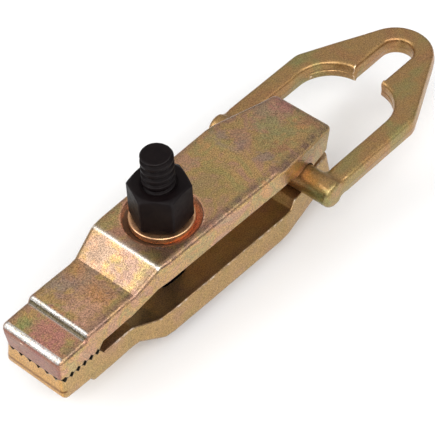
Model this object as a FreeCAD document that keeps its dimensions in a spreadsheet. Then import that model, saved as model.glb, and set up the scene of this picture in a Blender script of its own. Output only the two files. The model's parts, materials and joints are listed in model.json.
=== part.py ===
import FreeCAD, Part
import os
import Sketcher

# Self-tightening pull clamp.  Lengths in mm, angles in degrees.
# Frame: origin on the bolt axis at the underside of the bolt head, +Z up the bolt towards the nut,
# +X towards the pull link, teeth at -X.  The jaws meet in the level plane z = JAW_PLANE.

SIZES = [
    ("nose_reach", 88.0, "bolt axis to the front of the teeth"),
    ("rear_reach", 101.5, "bolt axis to the rear end of a jaw"),
    ("bar_reach", 80.0, "bolt axis to the axis of the link's crossbar"),
    ("nose_half", 18.3, "half width at the teeth"),
    ("waist_half", 18.0, "half width behind the teeth"),
    ("front_half", 20.6, "half width where the plateau starts"),
    ("rear_half", 21.9, "half width where the rear taper starts"),
    ("tail_half", 16.4, "half width at the rear end"),
    ("jaw_draft", 5.0, "forging draft of the sides, degrees"),
    ("nose_height", 13.2, "jaw plane to the outer face at the nose"),
    ("step_height", 14.0, "jaw plane to the outer face before the step"),
    ("mid_height", 16.6, "jaw plane to the outer face behind the step"),
    ("plateau_height", 25.0, "jaw plane to the plateau"),
    ("tail_height", 18.6, "jaw plane to the outer face at the rear end"),
    ("step_back", 70.5, "bolt axis to the foot of the step"),
    ("step_run", 2.2, "length of the step"),
    ("slope_back", 39.5, "bolt axis to the foot of the slope"),
    ("plateau_back", 24.5, "bolt axis to the front of the plateau"),
    ("plateau_fore", 56.0, "bolt axis to the rear of the plateau"),
    ("waist_back", 44.0, "bolt axis to where the jaw starts to widen"),
    ("front_back", 19.0, "bolt axis to where the jaw reaches its plateau width"),
    ("taper_fore", 62.0, "bolt axis to where the jaw starts to narrow again"),
    ("bite_gap", 0.25, "jaw plane to the tooth crests, jaws closed"),
    ("tooth_zone", 24.5, "length of the toothed pad"),
    ("throat_height", 3.8, "jaw plane to the inner face behind the teeth"),
    ("throat_run", 2.4, "length of the jog behind the teeth"),
    ("arch_height", 10.3, "jaw plane to the inner face around the bolt"),
    ("arch_front", 26.0, "bolt axis to where the arch reaches full height"),
    ("arch_foot", 42.0, "bolt axis to where the arch starts to rise"),
    ("guard_height", 6.6, "jaw plane to the guard in front of the crossbar"),
    ("guard_length", 6.0, "guard in front of the crossbar, beyond the seat"),
    ("lip_gap", 0.5, "jaw plane to the rear lip at the crossbar axis"),
    ("lip_relief", 4.6, "angle of the lip away from the jaw plane, degrees"),
    ("cross_pitch", 4.2, "pitch of the cross grooves, along the jaw"),
    ("cross_count", 6, "number of cross grooves"),
    ("long_pitch", 5.6, "pitch of the long grooves, across the jaw"),
    ("long_count", 6, "number of long grooves"),
    ("groove_half", 1.45, "half width of a groove at the crests"),
    ("groove_depth", 1.7, "depth of a groove"),
    ("slot_front", 6.2, "bolt axis to the front arc centre of the bolt slot"),
    ("slot_rear", 0.8, "bolt axis to the rear arc centre of the bolt slot"),
    ("slot_half", 8.7, "half width of the bolt slot"),
    ("dish_radius", 30.0, "spherical radius of the washer seat"),
    ("dish_rim", 19.5, "rim radius of the washer seat"),
    ("seat_clearance", 0.3, "jaw seat around the crossbar"),
    ("corner_round", 2.5, "rounding of the upright corners at both ends"),
    ("nose_round", 2.6, "depth of the bevels across the nose"),
    ("tail_round", 4.5, "depth of the bevels across the rear end"),
    ("bolt_radius", 8.0, "bolt shank and thread major radius"),
    ("bolt_above", 66.0, "jaw plane to the end of the bolt"),
    ("bolt_chamfer", 1.6, "chamfer at the end of the bolt"),
    ("across_flats", 27.0, "spanner size of nut and head"),
    ("crown_half", 12.9, "radius of the flat left by the hexagon chamfers"),
    ("head_height", 10.0, "height of the bolt head"),
    ("nut_height", 21.6, "height of the nut"),
    ("nut_turn", 5.7, "rest angle of the nut, degrees"),
    ("nut_clearance", 0.05, "radial running fit of the nut on the bolt"),
    ("washer_radius", 16.0, "outer radius of a washer"),
    ("washer_bore", 8.6, "bore radius of a washer"),
    ("washer_proud", 1.0, "washer face above the plateau"),
    ("washer_clearance", 0.1, "gap between washer and dished seat"),
    ("face_clearance", 0.05, "gap between nut and washer"),
    ("bar_radius", 7.25, "radius of the crossbar"),
    ("bar_round", 3.5, "rounding of the crossbar ends"),
    ("link_half", 39.3, "half width of the pull link"),
    ("link_thick", 10.8, "thickness of the pull link"),
    ("shoulder_reach", 62.0, "crossbar axis to the shoulder of the link"),
    ("shoulder_round", 13.0, "rounding of the shoulder"),
    ("apex_reach", 141.5, "crossbar axis to where the outer sides would meet"),
    ("apex_round", 20.3, "rounding of the link's tip"),
    ("bay_half", 27.3, "half width of the bay"),
    ("bay_round", 20.0, "corner radius of the bay"),
    ("bay_reach", 72.2, "crossbar axis to the end of the bay"),
    ("hook_half", 8.2, "half width of the hook slot"),
    ("hook_reach", 96.5, "crossbar axis to the end centre of the hook slot"),
    ("link_round", 2.6, "rounding of the link's edges"),
    ("knee_round", 2.4, "rounding where the hook slot leaves the bay"),
]
VALUE = {alias: value for alias, value, note in SIZES}

JAW_PLANE = "sizes.head_height + sizes.washer_proud + sizes.plateau_height + sizes.face_clearance"
SEAT_RADIUS = "sizes.bar_radius + sizes.seat_clearance"
FAR = 60.0


def make_sheet(doc):
    """Spreadsheet that drives every feature."""
    sheet = doc.addObject("Spreadsheet::Sheet", "sizes")
    for row, (alias, value, note) in enumerate(SIZES, start=1):
        sheet.set("A%d" % row, alias)
        sheet.set("B%d" % row, str(value))
        sheet.set("C%d" % row, note)
        sheet.setAlias("B%d" % row, alias)
    doc.recompute()
    return sheet


def origin_plane(body, role):
    """Origin plane of a body, found by its role."""
    return [item for item in body.Origin.OriginFeatures if item.Role == role][0]


def new_sketch(body, name, role):
    """Empty sketch on one of a body's own origin planes."""
    sketch = body.newObject("Sketcher::SketchObject", name)
    sketch.AttachmentSupport = [(origin_plane(body, role), "")]
    sketch.MapMode = "FlatFace"
    return sketch


def drive(item, **links):
    """Bind properties to sheet expressions."""
    for name, expression in links.items():
        item.setExpression(name.replace("__", "."), expression)


def number(doc, expression):
    """Present value of a sheet expression."""
    return float(doc.getObject("sizes").evalExpression(expression))


def pin_point(sketch, geometry, position, across, up):
    """Fix one sketch point at two sheet expressions, measured from the sketch origin."""
    doc = sketch.Document
    for kind, expression in (("DistanceX", across), ("DistanceY", up)):
        value = number(doc, expression)
        index = sketch.addConstraint(
            Sketcher.Constraint(kind, -1, 1, geometry, position, value))
        sketch.setExpression("Constraints[%d]" % index, expression)


def add_polygon(sketch, corners):
    """Closed polygon whose corners are pairs of sheet expressions."""
    doc = sketch.Document
    points = [FreeCAD.Vector(number(doc, across), number(doc, up), 0) for across, up in corners]
    count = len(points)
    first = sketch.GeometryCount
    for index in range(count):
        sketch.addGeometry(Part.LineSegment(points[index], points[(index + 1) % count]), False)
    for index in range(count):
        following = first + (index + 1) % count
        sketch.addConstraint(Sketcher.Constraint("Coincident", first + index, 2, following, 1))
    for index, (across, up) in enumerate(corners):
        pin_point(sketch, first + index, 1, across, up)


def add_circle(sketch, across, up, radius):
    """Circle placed and sized by sheet expressions."""
    doc = sketch.Document
    centre = FreeCAD.Vector(number(doc, across), number(doc, up), 0)
    index = sketch.addGeometry(
        Part.Circle(centre, FreeCAD.Vector(0, 0, 1), number(doc, radius)), False)
    pin_point(sketch, index, 3, across, up)
    ring = sketch.addConstraint(Sketcher.Constraint("Radius", index, number(doc, radius)))
    sketch.setExpression("Constraints[%d]" % ring, radius)


def pocket(body, sketch, name, both=True, reverse=False):
    """Cut a sketch right through the body."""
    cut = body.newObject("PartDesign::Pocket", name)
    cut.Profile = sketch
    cut.Type = "ThroughAll"
    cut.Midplane = both
    cut.Reversed = reverse
    body.Tip = cut
    return cut


def round_edges(body, name, radius, choose):
    """Fillet the edges of the body's tip that the chooser accepts."""
    base = body.Tip
    names = ["Edge%d" % (index + 1) for index, edge in enumerate(base.Shape.Edges) if choose(edge)]
    fillet = body.newObject("PartDesign::Fillet", name)
    fillet.Base = (base, names)
    fillet.setExpression("Radius", radius)
    body.Tip = fillet
    body.Document.recompute()
    return fillet


def add_slot(sketch, rear, front, half):
    """Slot along the sketch's X axis, from two arc centres and a half width."""
    doc = sketch.Document
    ahead, behind, width = number(doc, rear), -number(doc, front), number(doc, half)
    normal = FreeCAD.Vector(0, 0, 1)
    right = Part.ArcOfCircle(Part.Circle(FreeCAD.Vector(ahead, 0, 0), normal, width),
                             -1.5707963, 1.5707963)
    left = Part.ArcOfCircle(Part.Circle(FreeCAD.Vector(behind, 0, 0), normal, width),
                            1.5707963, 4.7123890)
    top = Part.LineSegment(FreeCAD.Vector(ahead, width, 0), FreeCAD.Vector(behind, width, 0))
    foot = Part.LineSegment(FreeCAD.Vector(behind, -width, 0), FreeCAD.Vector(ahead, -width, 0))
    for curve in (right, top, left, foot):
        sketch.addGeometry(curve, False)
    for index in range(4):
        sketch.addConstraint(
            Sketcher.Constraint("Tangent", index, 2, (index + 1) % 4, 1))
    pin_point(sketch, 0, 3, rear, "0")
    pin_point(sketch, 2, 3, "-(%s)" % front, "0")
    index = sketch.addConstraint(Sketcher.Constraint("Radius", 0, width))
    sketch.setExpression("Constraints[%d]" % index, half)


def mirrored(corners):
    """Corners of one side followed by the same corners across the X axis."""
    return corners + [(across, "-(%s)" % up) for across, up in reversed(corners)]


def make_jaw(doc, label, inverted):
    """One forged jaw, built above its own jaw plane and turned over for the lower jaw."""
    body = doc.addObject("PartDesign::Body", label)
    body.Label = label
    doc.recompute()

    plan = new_sketch(body, label + "_plan", "XY_Plane")
    add_polygon(plan, mirrored([
        ("-sizes.nose_reach", "sizes.nose_half"),
        ("-sizes.waist_back", "sizes.waist_half"),
        ("-sizes.front_back", "sizes.front_half"),
        ("sizes.taper_fore", "sizes.rear_half"),
        ("sizes.rear_reach", "sizes.tail_half"),
    ]))
    block = body.newObject("PartDesign::Pad", label + "_block")
    block.Profile = plan
    drive(block, Length="sizes.plateau_height")
    body.Tip = block
    doc.recompute()
    sides = ["Face%d" % (index + 1) for index, face in enumerate(block.Shape.Faces)
             if abs(face.normalAt(0, 0).z) < 0.5]
    draft = body.newObject("PartDesign::Draft", label + "_draft")
    draft.Base = (block, sides)
    draft.NeutralPlane = (origin_plane(body, "XY_Plane"), [""])
    draft.Reversed = True
    drive(draft, Angle="sizes.jaw_draft")
    body.Tip = draft
    doc.recompute()
    round_edges(body, label + "_corner_round", "sizes.corner_round", corner_edge)

    outer = new_sketch(body, label + "_outer_profile", "XZ_Plane")
    above = "sizes.plateau_height + %g" % FAR
    ahead = "-sizes.nose_reach - %g" % FAR
    add_polygon(outer, [
        (ahead, "sizes.nose_height - sizes.nose_round"),
        ("-sizes.nose_reach - sizes.nose_round / 2", "sizes.nose_height - sizes.nose_round"),
        ("-sizes.nose_reach", "sizes.nose_height - sizes.nose_round / 4"),
        ("-sizes.nose_reach + sizes.nose_round", "sizes.nose_height"),
        ("-sizes.step_back", "sizes.step_height"),
        ("-sizes.step_back + sizes.step_run", "sizes.mid_height"),
        ("-sizes.slope_back", "sizes.mid_height"),
        ("-sizes.plateau_back", "sizes.plateau_height"),
        ("-sizes.plateau_back", above),
        (ahead, above),
    ])
    pocket(body, outer, label + "_outer_cut")

    tail = new_sketch(body, label + "_tail_profile", "XZ_Plane")
    fall = "(sizes.plateau_height - sizes.tail_height) / (sizes.rear_reach - sizes.plateau_fore)"
    add_polygon(tail, [
        ("sizes.plateau_fore", "sizes.plateau_height"),
        ("sizes.rear_reach - sizes.tail_round", "sizes.tail_height + sizes.tail_round * %s" % fall),
        ("sizes.rear_reach - sizes.tail_round / 5", "sizes.tail_height - sizes.tail_round / 4"),
        ("sizes.rear_reach + sizes.tail_round / 4", "sizes.tail_height - sizes.tail_round"),
        ("sizes.rear_reach + %g" % FAR, "sizes.tail_height - sizes.tail_round"),
        ("sizes.rear_reach + %g" % FAR, above),
        ("sizes.plateau_fore", above),
    ])
    pocket(body, tail, label + "_tail_cut")

    inner = new_sketch(body, label + "_inner_profile", "XZ_Plane")
    teeth_end = "-sizes.nose_reach + sizes.tooth_zone"
    guard_start = "sizes.bar_reach - %s - sizes.guard_length" % SEAT_RADIUS
    add_polygon(inner, [
        (ahead, "-10"),
        (ahead, "sizes.bite_gap"),
        (teeth_end, "sizes.bite_gap"),
        (teeth_end + " + sizes.throat_run", "sizes.throat_height"),
        ("-sizes.arch_foot", "sizes.throat_height"),
        ("-sizes.arch_front", "sizes.arch_height"),
        (guard_start, "sizes.arch_height"),
        (guard_start + " + sizes.arch_height - sizes.guard_height", "sizes.guard_height"),
        ("sizes.bar_reach", "sizes.guard_height"),
        ("sizes.bar_reach", "sizes.lip_gap"),
        ("sizes.rear_reach + %g" % FAR,
         "sizes.lip_gap + (sizes.rear_reach + %g - sizes.bar_reach) * tan(sizes.lip_relief)" % FAR),
        ("sizes.rear_reach + %g" % FAR, "-10"),
    ])
    pocket(body, inner, label + "_inner_cut")

    seat = new_sketch(body, label + "_bar_seat_profile", "XZ_Plane")
    add_circle(seat, "sizes.bar_reach", "0", SEAT_RADIUS)
    pocket(body, seat, label + "_bar_seat")

    slot = new_sketch(body, label + "_bolt_slot_profile", "XY_Plane")
    add_slot(slot, "sizes.slot_rear", "sizes.slot_front", "sizes.slot_half")
    pocket(body, slot, label + "_bolt_slot")
    doc.recompute()

    dish = body.newObject("PartDesign::SubtractiveSphere", label + "_washer_dish")
    drive(dish, Radius="sizes.dish_radius", Placement__Base__z=(
        "sizes.plateau_height + sqrt(sizes.dish_radius ^ 2 - sizes.dish_rim ^ 2)"))
    body.Tip = dish

    across_groove = new_sketch(body, label + "_cross_groove_profile", "XZ_Plane")
    first = "-sizes.nose_reach + sizes.cross_pitch / 2"
    add_polygon(across_groove, groove_corners(first))
    cross = pocket(body, across_groove, label + "_cross_groove")
    row = body.newObject("PartDesign::LinearPattern", label + "_cross_grooves")
    row.Originals = [cross]
    row.Direction = (across_groove, ["H_Axis"])
    drive(row, Length="sizes.cross_pitch * (sizes.cross_count - 1)", Occurrences="sizes.cross_count")
    body.Tip = row

    along_groove = new_sketch(body, label + "_long_groove_profile", "YZ_Plane")
    first = "-sizes.long_pitch * (sizes.long_count - 1) / 2"
    add_polygon(along_groove, groove_corners(first))
    along = pocket(body, along_groove, label + "_long_groove", both=False)
    column = body.newObject("PartDesign::LinearPattern", label + "_long_grooves")
    column.Originals = [along]
    column.Direction = (along_groove, ["H_Axis"])
    drive(column, Length="sizes.long_pitch * (sizes.long_count - 1)", Occurrences="sizes.long_count")
    body.Tip = column

    if inverted:
        body.Placement = FreeCAD.Placement(
            FreeCAD.Vector(), FreeCAD.Rotation(FreeCAD.Vector(1, 0, 0), 180))
    drive(body, Placement__Base__z=JAW_PLANE)
    doc.recompute()
    return body


def groove_corners(centre):
    """Vee groove rising from the tooth crests."""
    return [
        ("%s - sizes.groove_half * 2" % centre, "sizes.bite_gap - sizes.groove_depth"),
        ("%s + sizes.groove_half * 2" % centre, "sizes.bite_gap - sizes.groove_depth"),
        (centre, "sizes.bite_gap + sizes.groove_depth"),
    ]


def corner_edge(edge):
    """True for the upright corner edges at both ends of a jaw."""
    box = edge.BoundBox
    steep = box.ZLength > VALUE["plateau_height"] / 2
    return steep and (box.XMin > VALUE["rear_reach"] - 1.0 or box.XMax < 1.0 - VALUE["nose_reach"])


def hexagon(doc, name, height):
    """Hexagonal prism with both ends chamfered, standing on its own origin."""
    prism = doc.addObject("Part::Prism", name + "_prism")
    prism.Polygon = 6
    drive(prism, Circumradius="sizes.across_flats / 2 / cos(30)", Height=height)
    spread = "sizes.crown_half + %s / tan(30)" % height
    rising = doc.addObject("Part::Cone", name + "_upper_chamfer")
    drive(rising, Radius1=spread, Radius2="sizes.crown_half", Height=height)
    falling = doc.addObject("Part::Cone", name + "_lower_chamfer")
    drive(falling, Radius1="sizes.crown_half", Radius2=spread, Height=height)
    common = doc.addObject("Part::MultiCommon", name + "_hexagon")
    common.Shapes = [prism, rising, falling]
    return common


def cylinder(doc, name, radius, height, base="0"):
    """Upright cylinder on the bolt axis."""
    item = doc.addObject("Part::Cylinder", name)
    drive(item, Radius=radius, Height=height, Placement__Base__z=base)
    return item


def make_bolt(doc):
    """Hexagon bolt standing on its head."""
    head = hexagon(doc, "clamp_bolt", "sizes.head_height")
    length = "%s + sizes.bolt_above" % JAW_PLANE
    shank = cylinder(doc, "clamp_bolt_shank", "sizes.bolt_radius",
                     "%s - sizes.bolt_chamfer - sizes.head_height / 2" % length, "sizes.head_height / 2")
    tip = doc.addObject("Part::Cone", "clamp_bolt_tip")
    drive(tip, Radius1="sizes.bolt_radius", Radius2="sizes.bolt_radius - sizes.bolt_chamfer",
          Height="sizes.bolt_chamfer", Placement__Base__z="%s - sizes.bolt_chamfer" % length)
    bolt = doc.addObject("Part::MultiFuse", "clamp_bolt")
    bolt.Shapes = [head, shank, tip]
    bolt.Refine = True
    bolt.Label = "clamp_bolt"
    return bolt


def make_nut(doc):
    """Tall hexagon nut on the upper washer."""
    solid = hexagon(doc, "clamp_nut", "sizes.nut_height")
    bore = cylinder(doc, "clamp_nut_bore", "sizes.bolt_radius + sizes.nut_clearance",
                    "sizes.nut_height + 2", "-1")
    nut = doc.addObject("Part::Cut", "clamp_nut")
    nut.Base, nut.Tool = solid, bore
    nut.Label = "clamp_nut"
    nut.Placement = FreeCAD.Placement(
        FreeCAD.Vector(), FreeCAD.Rotation(FreeCAD.Vector(0, 0, 1), 1))
    drive(nut, Placement__Rotation__Angle="sizes.nut_turn", Placement__Base__z=(
        "%s + sizes.plateau_height + sizes.washer_proud + sizes.face_clearance" % JAW_PLANE))
    return nut


def make_washer(doc, label, inverted):
    """Washer with a ball-shaped back that lies in a jaw's dished seat."""
    centre = "sqrt(sizes.dish_radius ^ 2 - sizes.dish_rim ^ 2) - sizes.washer_proud"
    ball = doc.addObject("Part::Sphere", label + "_ball")
    drive(ball, Radius="sizes.dish_radius - sizes.washer_clearance", Placement__Base__z=centre)
    disc = cylinder(doc, label + "_disc", "sizes.washer_radius", "sizes.dish_radius",
                    "-sizes.dish_radius")
    blank = doc.addObject("Part::MultiCommon", label + "_blank")
    blank.Shapes = [ball, disc]
    bore = cylinder(doc, label + "_bore", "sizes.washer_bore", "2 * sizes.dish_radius",
                    "-sizes.dish_radius - 1")
    washer = doc.addObject("Part::Cut", label)
    washer.Base, washer.Tool = blank, bore
    washer.Label = label
    side = "-" if inverted else "+"
    if inverted:
        washer.Placement = FreeCAD.Placement(
            FreeCAD.Vector(), FreeCAD.Rotation(FreeCAD.Vector(1, 0, 0), 180))
    drive(washer, Placement__Base__z="%s %s (sizes.plateau_height + sizes.washer_proud)" % (
        JAW_PLANE, side))
    return washer


def make_link(doc):
    """Forged pull link: two arms, a crossbar at one end, a bay and a hook slot."""
    body = doc.addObject("PartDesign::Body", "pull_link")
    body.Label = "pull_link"
    doc.recompute()

    outline = new_sketch(body, "pull_link_outline", "XY_Plane")
    add_polygon(outline, [
        ("0", "sizes.link_half"), ("0", "-sizes.link_half"),
        ("sizes.shoulder_reach", "-sizes.link_half"),
        ("sizes.apex_reach", "0"),
        ("sizes.shoulder_reach", "sizes.link_half"),
    ])
    plate = body.newObject("PartDesign::Pad", "pull_link_plate")
    plate.Profile = outline
    plate.Midplane = True
    drive(plate, Length="sizes.link_thick")
    body.Tip = plate
    doc.recompute()
    round_edges(body, "pull_link_tip_round", "sizes.apex_round", lambda edge: upright_edge(
        edge, VALUE["apex_reach"], 0.0))
    round_edges(body, "pull_link_shoulder_round", "sizes.shoulder_round", lambda edge: upright_edge(
        edge, VALUE["shoulder_reach"], VALUE["link_half"]))

    corner = "sizes.bay_reach - sizes.bay_round"
    inset = "sizes.bay_half - sizes.bay_round"
    boxes = [
        ("bay", "sizes.bar_radius / 2", corner, "sizes.bay_half"),
        ("bay_end", corner, "sizes.bay_reach", inset),
        ("hook_slot", corner, "sizes.hook_reach", "sizes.hook_half"),
    ]
    for name, start, end, half in boxes:
        sketch = new_sketch(body, "pull_link_%s_profile" % name, "XY_Plane")
        add_polygon(sketch, mirrored([(start, half), (end, half)]))
        pocket(body, sketch, "pull_link_%s" % name)
    rounds = [
        ("bay_left", corner, inset, "sizes.bay_round"),
        ("bay_right", corner, "-(%s)" % inset, "sizes.bay_round"),
        ("hook_end", "sizes.hook_reach", "0", "sizes.hook_half"),
    ]
    for name, across, up, radius in rounds:
        sketch = new_sketch(body, "pull_link_%s_profile" % name, "XY_Plane")
        add_circle(sketch, across, up, radius)
        pocket(body, sketch, "pull_link_%s" % name)
    doc.recompute()
    round_edges(body, "pull_link_knee_round", "sizes.knee_round", lambda edge: upright_edge(
        edge, VALUE["bay_reach"] - 0.3, VALUE["hook_half"]))
    round_edges(body, "pull_link_edge_round", "sizes.link_round", level_edge)

    bar = new_sketch(body, "pull_link_bar_profile", "XY_Plane")
    add_polygon(bar, [
        ("0", "-sizes.link_half"),
        ("sizes.bar_radius - sizes.bar_round", "-sizes.link_half"),
        ("sizes.bar_radius", "-sizes.link_half + sizes.bar_round"),
        ("sizes.bar_radius", "sizes.link_half - sizes.bar_round"),
        ("sizes.bar_radius - sizes.bar_round", "sizes.link_half"),
        ("0", "sizes.link_half"),
    ])
    crossbar = body.newObject("PartDesign::Revolution", "pull_link_crossbar")
    crossbar.Profile = bar
    crossbar.ReferenceAxis = (bar, ["V_Axis"])
    crossbar.Angle = 360
    body.Tip = crossbar
    drive(body, Placement__Base__x="sizes.bar_reach", Placement__Base__z=JAW_PLANE)
    doc.recompute()
    return body


def upright_edge(edge, reach, half):
    """True for an upright edge of the link at a given station, on either side."""
    one, two = edge.Vertexes[0].Point, edge.Vertexes[-1].Point
    upright = (one - two).Length > 1.0 and abs(one.x - two.x) < 0.01 and abs(one.y - two.y) < 0.01
    return upright and abs(one.x - reach) < 1.0 and abs(abs(one.y) - half) < 0.5


def level_edge(edge):
    """True for the edges around the two flat faces of the link, except at the crossbar."""
    box = edge.BoundBox
    return box.ZLength < 0.01 and abs(box.Center.z) > 1.0 and box.XMax > VALUE["bar_radius"]


def main():
    """Build, check and write every piece."""
    doc = FreeCAD.newDocument("pull_clamp")
    make_sheet(doc)
    pieces = [
        make_jaw(doc, "lower_jaw", True),
        make_jaw(doc, "upper_jaw", False),
        make_link(doc),
        make_bolt(doc),
        make_nut(doc),
        make_washer(doc, "nut_washer", False),
        make_washer(doc, "head_washer", True),
    ]
    doc.recompute()

    for item in doc.Objects:
        if "Invalid" in item.State or "Error" in item.State:
            raise RuntimeError("%s: %s" % (item.Name, item.State))
    os.makedirs("parts", exist_ok=True)
    for piece in pieces:
        shape = piece.Shape
        if shape.isNull() or not shape.isValid() or len(shape.Solids) != 1:
            raise RuntimeError("%s is not one valid solid" % piece.Label)
        shape.exportStep("parts/%s.step" % piece.Label)
        print("%s %.1f cm3" % (piece.Label, shape.Volume / 1000.0))


main()
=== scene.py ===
"""Looks of a forged beam clamp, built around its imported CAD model.

Two mirrored forged jaws sit on one bolt between ball washers, and a pull link hangs
from a crossbar held between the jaw tails. Shapes are worked out in millimetres in the
frame of the model, +Z up the bolt, and turned to metres when a mesh is made.
"""

import json
import logging
import math
from dataclasses import dataclass, field
from enum import Enum

import bmesh
import bpy
import numpy as np
from mathutils import Matrix, Vector


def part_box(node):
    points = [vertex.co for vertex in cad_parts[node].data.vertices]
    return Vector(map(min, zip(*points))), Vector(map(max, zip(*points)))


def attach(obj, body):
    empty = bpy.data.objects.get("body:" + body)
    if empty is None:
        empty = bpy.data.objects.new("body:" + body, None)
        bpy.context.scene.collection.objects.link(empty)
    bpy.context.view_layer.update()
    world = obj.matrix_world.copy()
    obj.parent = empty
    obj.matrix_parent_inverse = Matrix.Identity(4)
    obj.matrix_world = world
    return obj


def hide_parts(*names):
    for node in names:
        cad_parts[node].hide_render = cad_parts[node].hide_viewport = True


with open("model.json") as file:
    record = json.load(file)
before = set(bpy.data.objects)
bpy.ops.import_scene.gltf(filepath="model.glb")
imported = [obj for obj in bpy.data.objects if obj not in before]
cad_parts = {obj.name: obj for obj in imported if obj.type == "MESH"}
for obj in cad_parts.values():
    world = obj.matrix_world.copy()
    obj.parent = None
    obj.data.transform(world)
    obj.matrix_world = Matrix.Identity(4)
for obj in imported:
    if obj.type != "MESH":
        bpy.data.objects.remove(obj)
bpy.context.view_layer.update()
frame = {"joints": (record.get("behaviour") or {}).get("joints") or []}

MM = 0.001
SHARP_ANGLE = math.radians(38.0)
log = logging.getLogger("beam_clamp")

Place = tuple[float, float, float]
Colour = tuple[float, float, float]
Faces = list[tuple[int, ...]]
MeshData = tuple[np.ndarray, Faces]


# ---------------------------------------------------------------- outlines and meshes


def box_mm(node: str) -> tuple[np.ndarray, np.ndarray]:
    """Gives the box of a CAD node.

    Args:
        node: the node's name.

    Returns:
        Its lowest and highest corners, in millimetres.
    """
    low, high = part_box(node)
    return np.array(low) / MM, np.array(high) / MM


def joint_place(name: str) -> np.ndarray:
    """Gives the point that a joint turns about.

    Args:
        name: the joint's name.

    Returns:
        The point, in millimetres.
    """
    joint = next(j for j in frame["joints"] if j["name"] == name)
    return np.array(joint["pos_m"]) / MM


@dataclass(frozen=True)
class Corner:
    """One corner of an outline: its place and the radius that rounds it."""

    across: float
    up: float
    radius: float = 0.0


@dataclass(frozen=True)
class Outline:
    """A run of corners, each rounded by an arc.

    Attributes:
        corners: the corners in order.
        closed: whether the last corner joins the first.
        arc_steps: how many pieces each arc is cut into.
    """

    corners: tuple[Corner, ...]
    closed: bool = False
    arc_steps: int = 8

    def points(self, inset: float = 0.0) -> np.ndarray:
        """Gives the rounded outline as points.

        Args:
            inset: how far a closed outline, drawn anticlockwise, is moved inwards.

        Returns:
            An array of points, always of the same count for one outline.
        """
        raw = np.array([(c.across, c.up) for c in self.corners], float)
        count = len(raw)
        made: list[np.ndarray] = []
        for index, corner in enumerate(self.corners):
            if not self.closed and index in (0, count - 1):
                made.append(raw[index])
                continue
            before = raw[index] - raw[index - 1]
            after = raw[(index + 1) % count] - raw[index]
            room = 0.48 * min(np.linalg.norm(before), np.linalg.norm(after))
            before /= np.linalg.norm(before)
            after /= np.linalg.norm(after)
            cross = before[0] * after[1] - before[1] * after[0]
            turn = math.atan2(cross, float(before @ after))
            left_before = np.array((-before[1], before[0]))
            left_after = np.array((-after[1], after[0]))
            mitre = (left_before + left_after) / (1.0 + float(left_before @ left_after))
            point = raw[index] + mitre * inset
            if corner.radius == 0.0:
                made.append(point)
                continue
            side = math.copysign(1.0, turn)
            radius = corner.radius
            if inset == 0.0:
                radius = min(radius, room / math.tan(abs(turn) / 2.0))
            radius = max(radius - side * inset, 0.05)
            centre = point + mitre * side * radius
            for step in range(self.arc_steps + 1):
                angle = turn * step / self.arc_steps
                arm = -left_before * side * radius
                spun = Matrix.Rotation(angle, 2) @ Vector(arm)
                made.append(centre + np.array(spun))
        return np.array(made)


def make_object(name: str, places: np.ndarray, faces: Faces) -> bpy.types.Object:
    """Makes a smooth-shaded mesh object from points in millimetres.

    Args:
        name: the piece's name.
        places: the points, one row each.
        faces: the corner numbers of each face.

    Returns:
        The object, linked to the scene.
    """
    mesh = bpy.data.meshes.new(name)
    mesh.from_pydata((np.asarray(places) * MM).tolist(), [], faces)
    mesh.validate()
    built = bmesh.new()
    built.from_mesh(mesh)
    bmesh.ops.remove_doubles(built, verts=built.verts, dist=0.01 * MM)
    bmesh.ops.dissolve_degenerate(built, edges=built.edges, dist=0.005 * MM)
    bmesh.ops.recalc_face_normals(built, faces=built.faces)
    built.to_mesh(mesh)
    built.free()
    made = bpy.data.objects.new(name, mesh)
    bpy.context.scene.collection.objects.link(made)
    smooth(made)
    return made


def smooth(piece: bpy.types.Object) -> None:
    """Shades a mesh smooth and keeps its real edges crisp.

    Args:
        piece: the mesh object.
    """
    flags = np.ones(len(piece.data.polygons), bool)
    piece.data.polygons.foreach_set("use_smooth", flags)
    piece.data.set_sharp_from_angle(angle=SHARP_ANGLE)


def places_of(mesh: bpy.types.Mesh) -> np.ndarray:
    """Gives a mesh's points in millimetres, one row each."""
    flat = np.zeros(len(mesh.vertices) * 3)
    mesh.vertices.foreach_get("co", flat)
    return flat.reshape(-1, 3) / MM


def normals_of(mesh: bpy.types.Mesh) -> np.ndarray:
    """Gives a mesh's point normals, one row each."""
    flat = np.zeros(len(mesh.vertices) * 3)
    mesh.vertices.foreach_get("normal", flat)
    return flat.reshape(-1, 3)


def move_points(mesh: bpy.types.Mesh, places: np.ndarray) -> None:
    """Moves a mesh's points.

    Args:
        mesh: the mesh.
        places: the new points, in millimetres.
    """
    mesh.vertices.foreach_set("co", (places * MM).ravel())
    mesh.update()


def paint_points(mesh: bpy.types.Mesh, name: str, values: np.ndarray) -> None:
    """Stores one number a point, for a finish to read.

    Args:
        mesh: the mesh.
        name: the attribute's name.
        values: the numbers, one a point.
    """
    layer = mesh.attributes.get(name) or mesh.attributes.new(name, "FLOAT", "POINT")
    layer.data.foreach_set("value", np.asarray(values, np.float32))


def strip_faces(rows: int, columns: int, start: int = 0) -> Faces:
    """Joins rows of points into quads, each row a closed ring.

    Args:
        rows: how many rings there are.
        columns: how many points each ring has.
        start: the number of the first point.

    Returns:
        The faces.
    """
    faces: Faces = []
    for row in range(rows - 1):
        low = start + row * columns
        for column in range(columns):
            after = (column + 1) % columns
            faces.append((low + column, low + after, low + columns + after, low + columns + column))
    return faces


def arc_points(centre: tuple[float, float], radius: float, angles: np.ndarray) -> np.ndarray:
    """Gives the points of an arc at some angles, in radians."""
    return np.column_stack((centre[0] + radius * np.cos(angles), centre[1] + radius * np.sin(angles)))


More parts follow.
